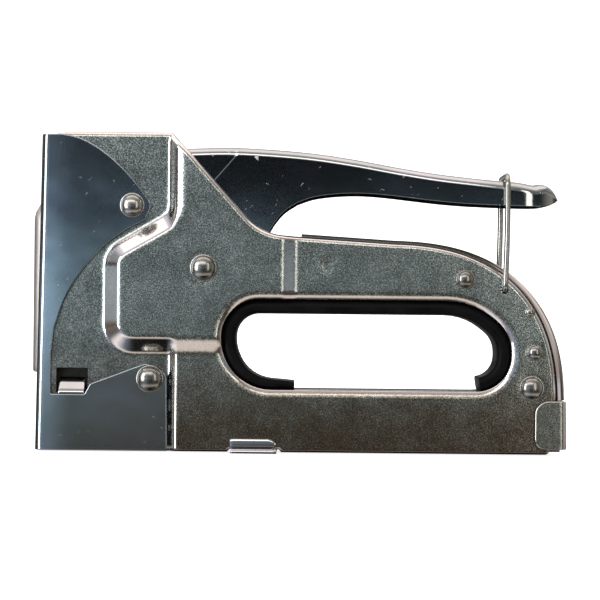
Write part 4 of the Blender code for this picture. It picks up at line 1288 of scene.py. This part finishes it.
for name, values in RIVETS.items():
    finished(name + "_heads", rivet_head(*values), "body", [name], rivet_steel, sharp=50)

# %% [markdown]
# ## Clip and cap
# A bright clip ties the two halves together under the magazine. The end cap is a folded cheek piece that
# pulls the magazine out.

# %% Belly clip
clip = bmesh.new()
rows = []
# y, z, where the row starts and where it ends: a lug pressed out above, a groove, and a lip rolled under
clip_rows = [(9.75, 4.5, -19.6, -10.0), (10.0, 4.45, -20.0, -9.0), (10.15, 4.2, -20.2, -8.0)]
clip_rows += [(10.25, 3.6, -20.3, -7.0), (10.35, 3.0, -20.3, -6.6), (10.45, 2.5, -20.3, -6.8)]
clip_rows += [(10.35, 2.2, -20.2, -7.2), (9.95, 1.9, -20.1, -7.2), (9.9, 1.35, -20.1, -6.6)]
clip_rows += [(10.2, 1.05, -20.2, -6.4), (10.35, 0.75, -20.3, -6.3)]
clip_rows += [(10.4, 0.4, -20.3, -6.3), (10.2, 0.1, -20.3, -6.3), (9.8, 0.0, -20.3, -6.3)]
clip_rows.append((6.0, 0.0, -20.3, -6.3))
clip_line = [(-y, z, low, high) for y, z, low, high in clip_rows]
clip_line += [(y, z, low, high) for y, z, low, high in clip_rows[::-1]]
for y, h, low, high in clip_line:
    rows.append([clip.verts.new((x, y, h)) for x in np.linspace(low, high, 14)])
for low, high in zip(rows, rows[1:]):
    ring_faces(clip, low, high, closed=False)
bmesh.ops.recalc_face_normals(clip, faces=clip.faces[:])
lean = sum(f.normal.z * f.calc_area() for f in clip.faces if abs(f.normal.z) > 0.9)
if lean > 0:
    bmesh.ops.reverse_faces(clip, faces=clip.faces[:])
finished("belly_clip", clip, "body", ["belly_strap"], chromed_lever, 0.6, 0.12)

# %% [markdown]
# ## Springs
# Two springs get shorter when the tool works. Each is a real coil: wire carried along a helix whose end turns
# lie flat.


# %% Coils
def coil(name, body, wire, turns, along, keep_high):
    """The spring that stands for a CAD spring: a tube along a helix in the CAD spring's box."""
    low, high = [np.array(corner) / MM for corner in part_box(name)]
    middle = (low + high) / 2
    across = [k for k in range(3) if k != along]
    radius = (high[across[0]] - low[across[0]]) / 2 - wire
    length = high[along] - low[along]
    count = turns * 22
    at = []
    for k in range(count + 1):
        share = k / count
        # The first and last turn are closed: they climb one wire's thickness, the rest share the length.
        closed = 2.05 * wire
        done = share * turns
        free = (length - 2 * wire - 2 * closed) / (turns - 2)
        rise = closed * min(done, 1) + free * min(max(done - 1, 0), turns - 2)
        rise += closed * max(done - turns + 1, 0)
        place = np.zeros(3)
        place[along] = low[along] + wire + rise
        place[across[0]] = middle[across[0]] + radius * math.cos(math.tau * done)
        place[across[1]] = middle[across[1]] + radius * math.sin(math.tau * done)
        at.append(place)
    built, rows = bmesh.new(), []
    for k, place in enumerate(at):
        outward = place - middle
        outward[along] = 0
        outward /= np.linalg.norm(outward)
        heading = at[min(k + 1, count)] - at[max(k - 1, 0)]
        upward = np.cross(heading / np.linalg.norm(heading), outward)
        turn = np.arange(0, math.tau, math.tau / 10)
        ring = [place + wire * (math.cos(t) * outward + math.sin(t) * upward) for t in turn]
        rows.append([built.verts.new(Vector(p)) for p in ring])
    for first, second in zip(rows, rows[1:]):
        ring_faces(built, first, second)
    built.faces.new(rows[0])
    built.faces.new(rows[-1])
    bmesh.ops.recalc_face_normals(built, faces=built.faces[:])
    made = finished(name + "_coil", built, body, [name], spring_wire, sharp=60)
    anchor = middle * MM
    anchor[along] = (high if keep_high else low)[along] * MM
    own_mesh(made)
    return made


coil("power_spring", "body", 0.9, 8, 2, True)
coil("pusher_spring", "magazine", 0.35, 26, 0, True)

# %% End cap
cap_wing = filleted([(80.6, 16.6), (71.2, 16.6, 4.0), (71.2, 2.1, 3.0), (80.75, 2.1)])
cap = folded(cap_wing, lambda z: 80.75 - 0.2 * (z - 2.1) / 14.5, 10.7, 1.6, 0.8, facing=1)
finished("magazine_end_cap", cap, "magazine", ["magazine_cap"], zinc_trim, SHEET, 0.0, 50)
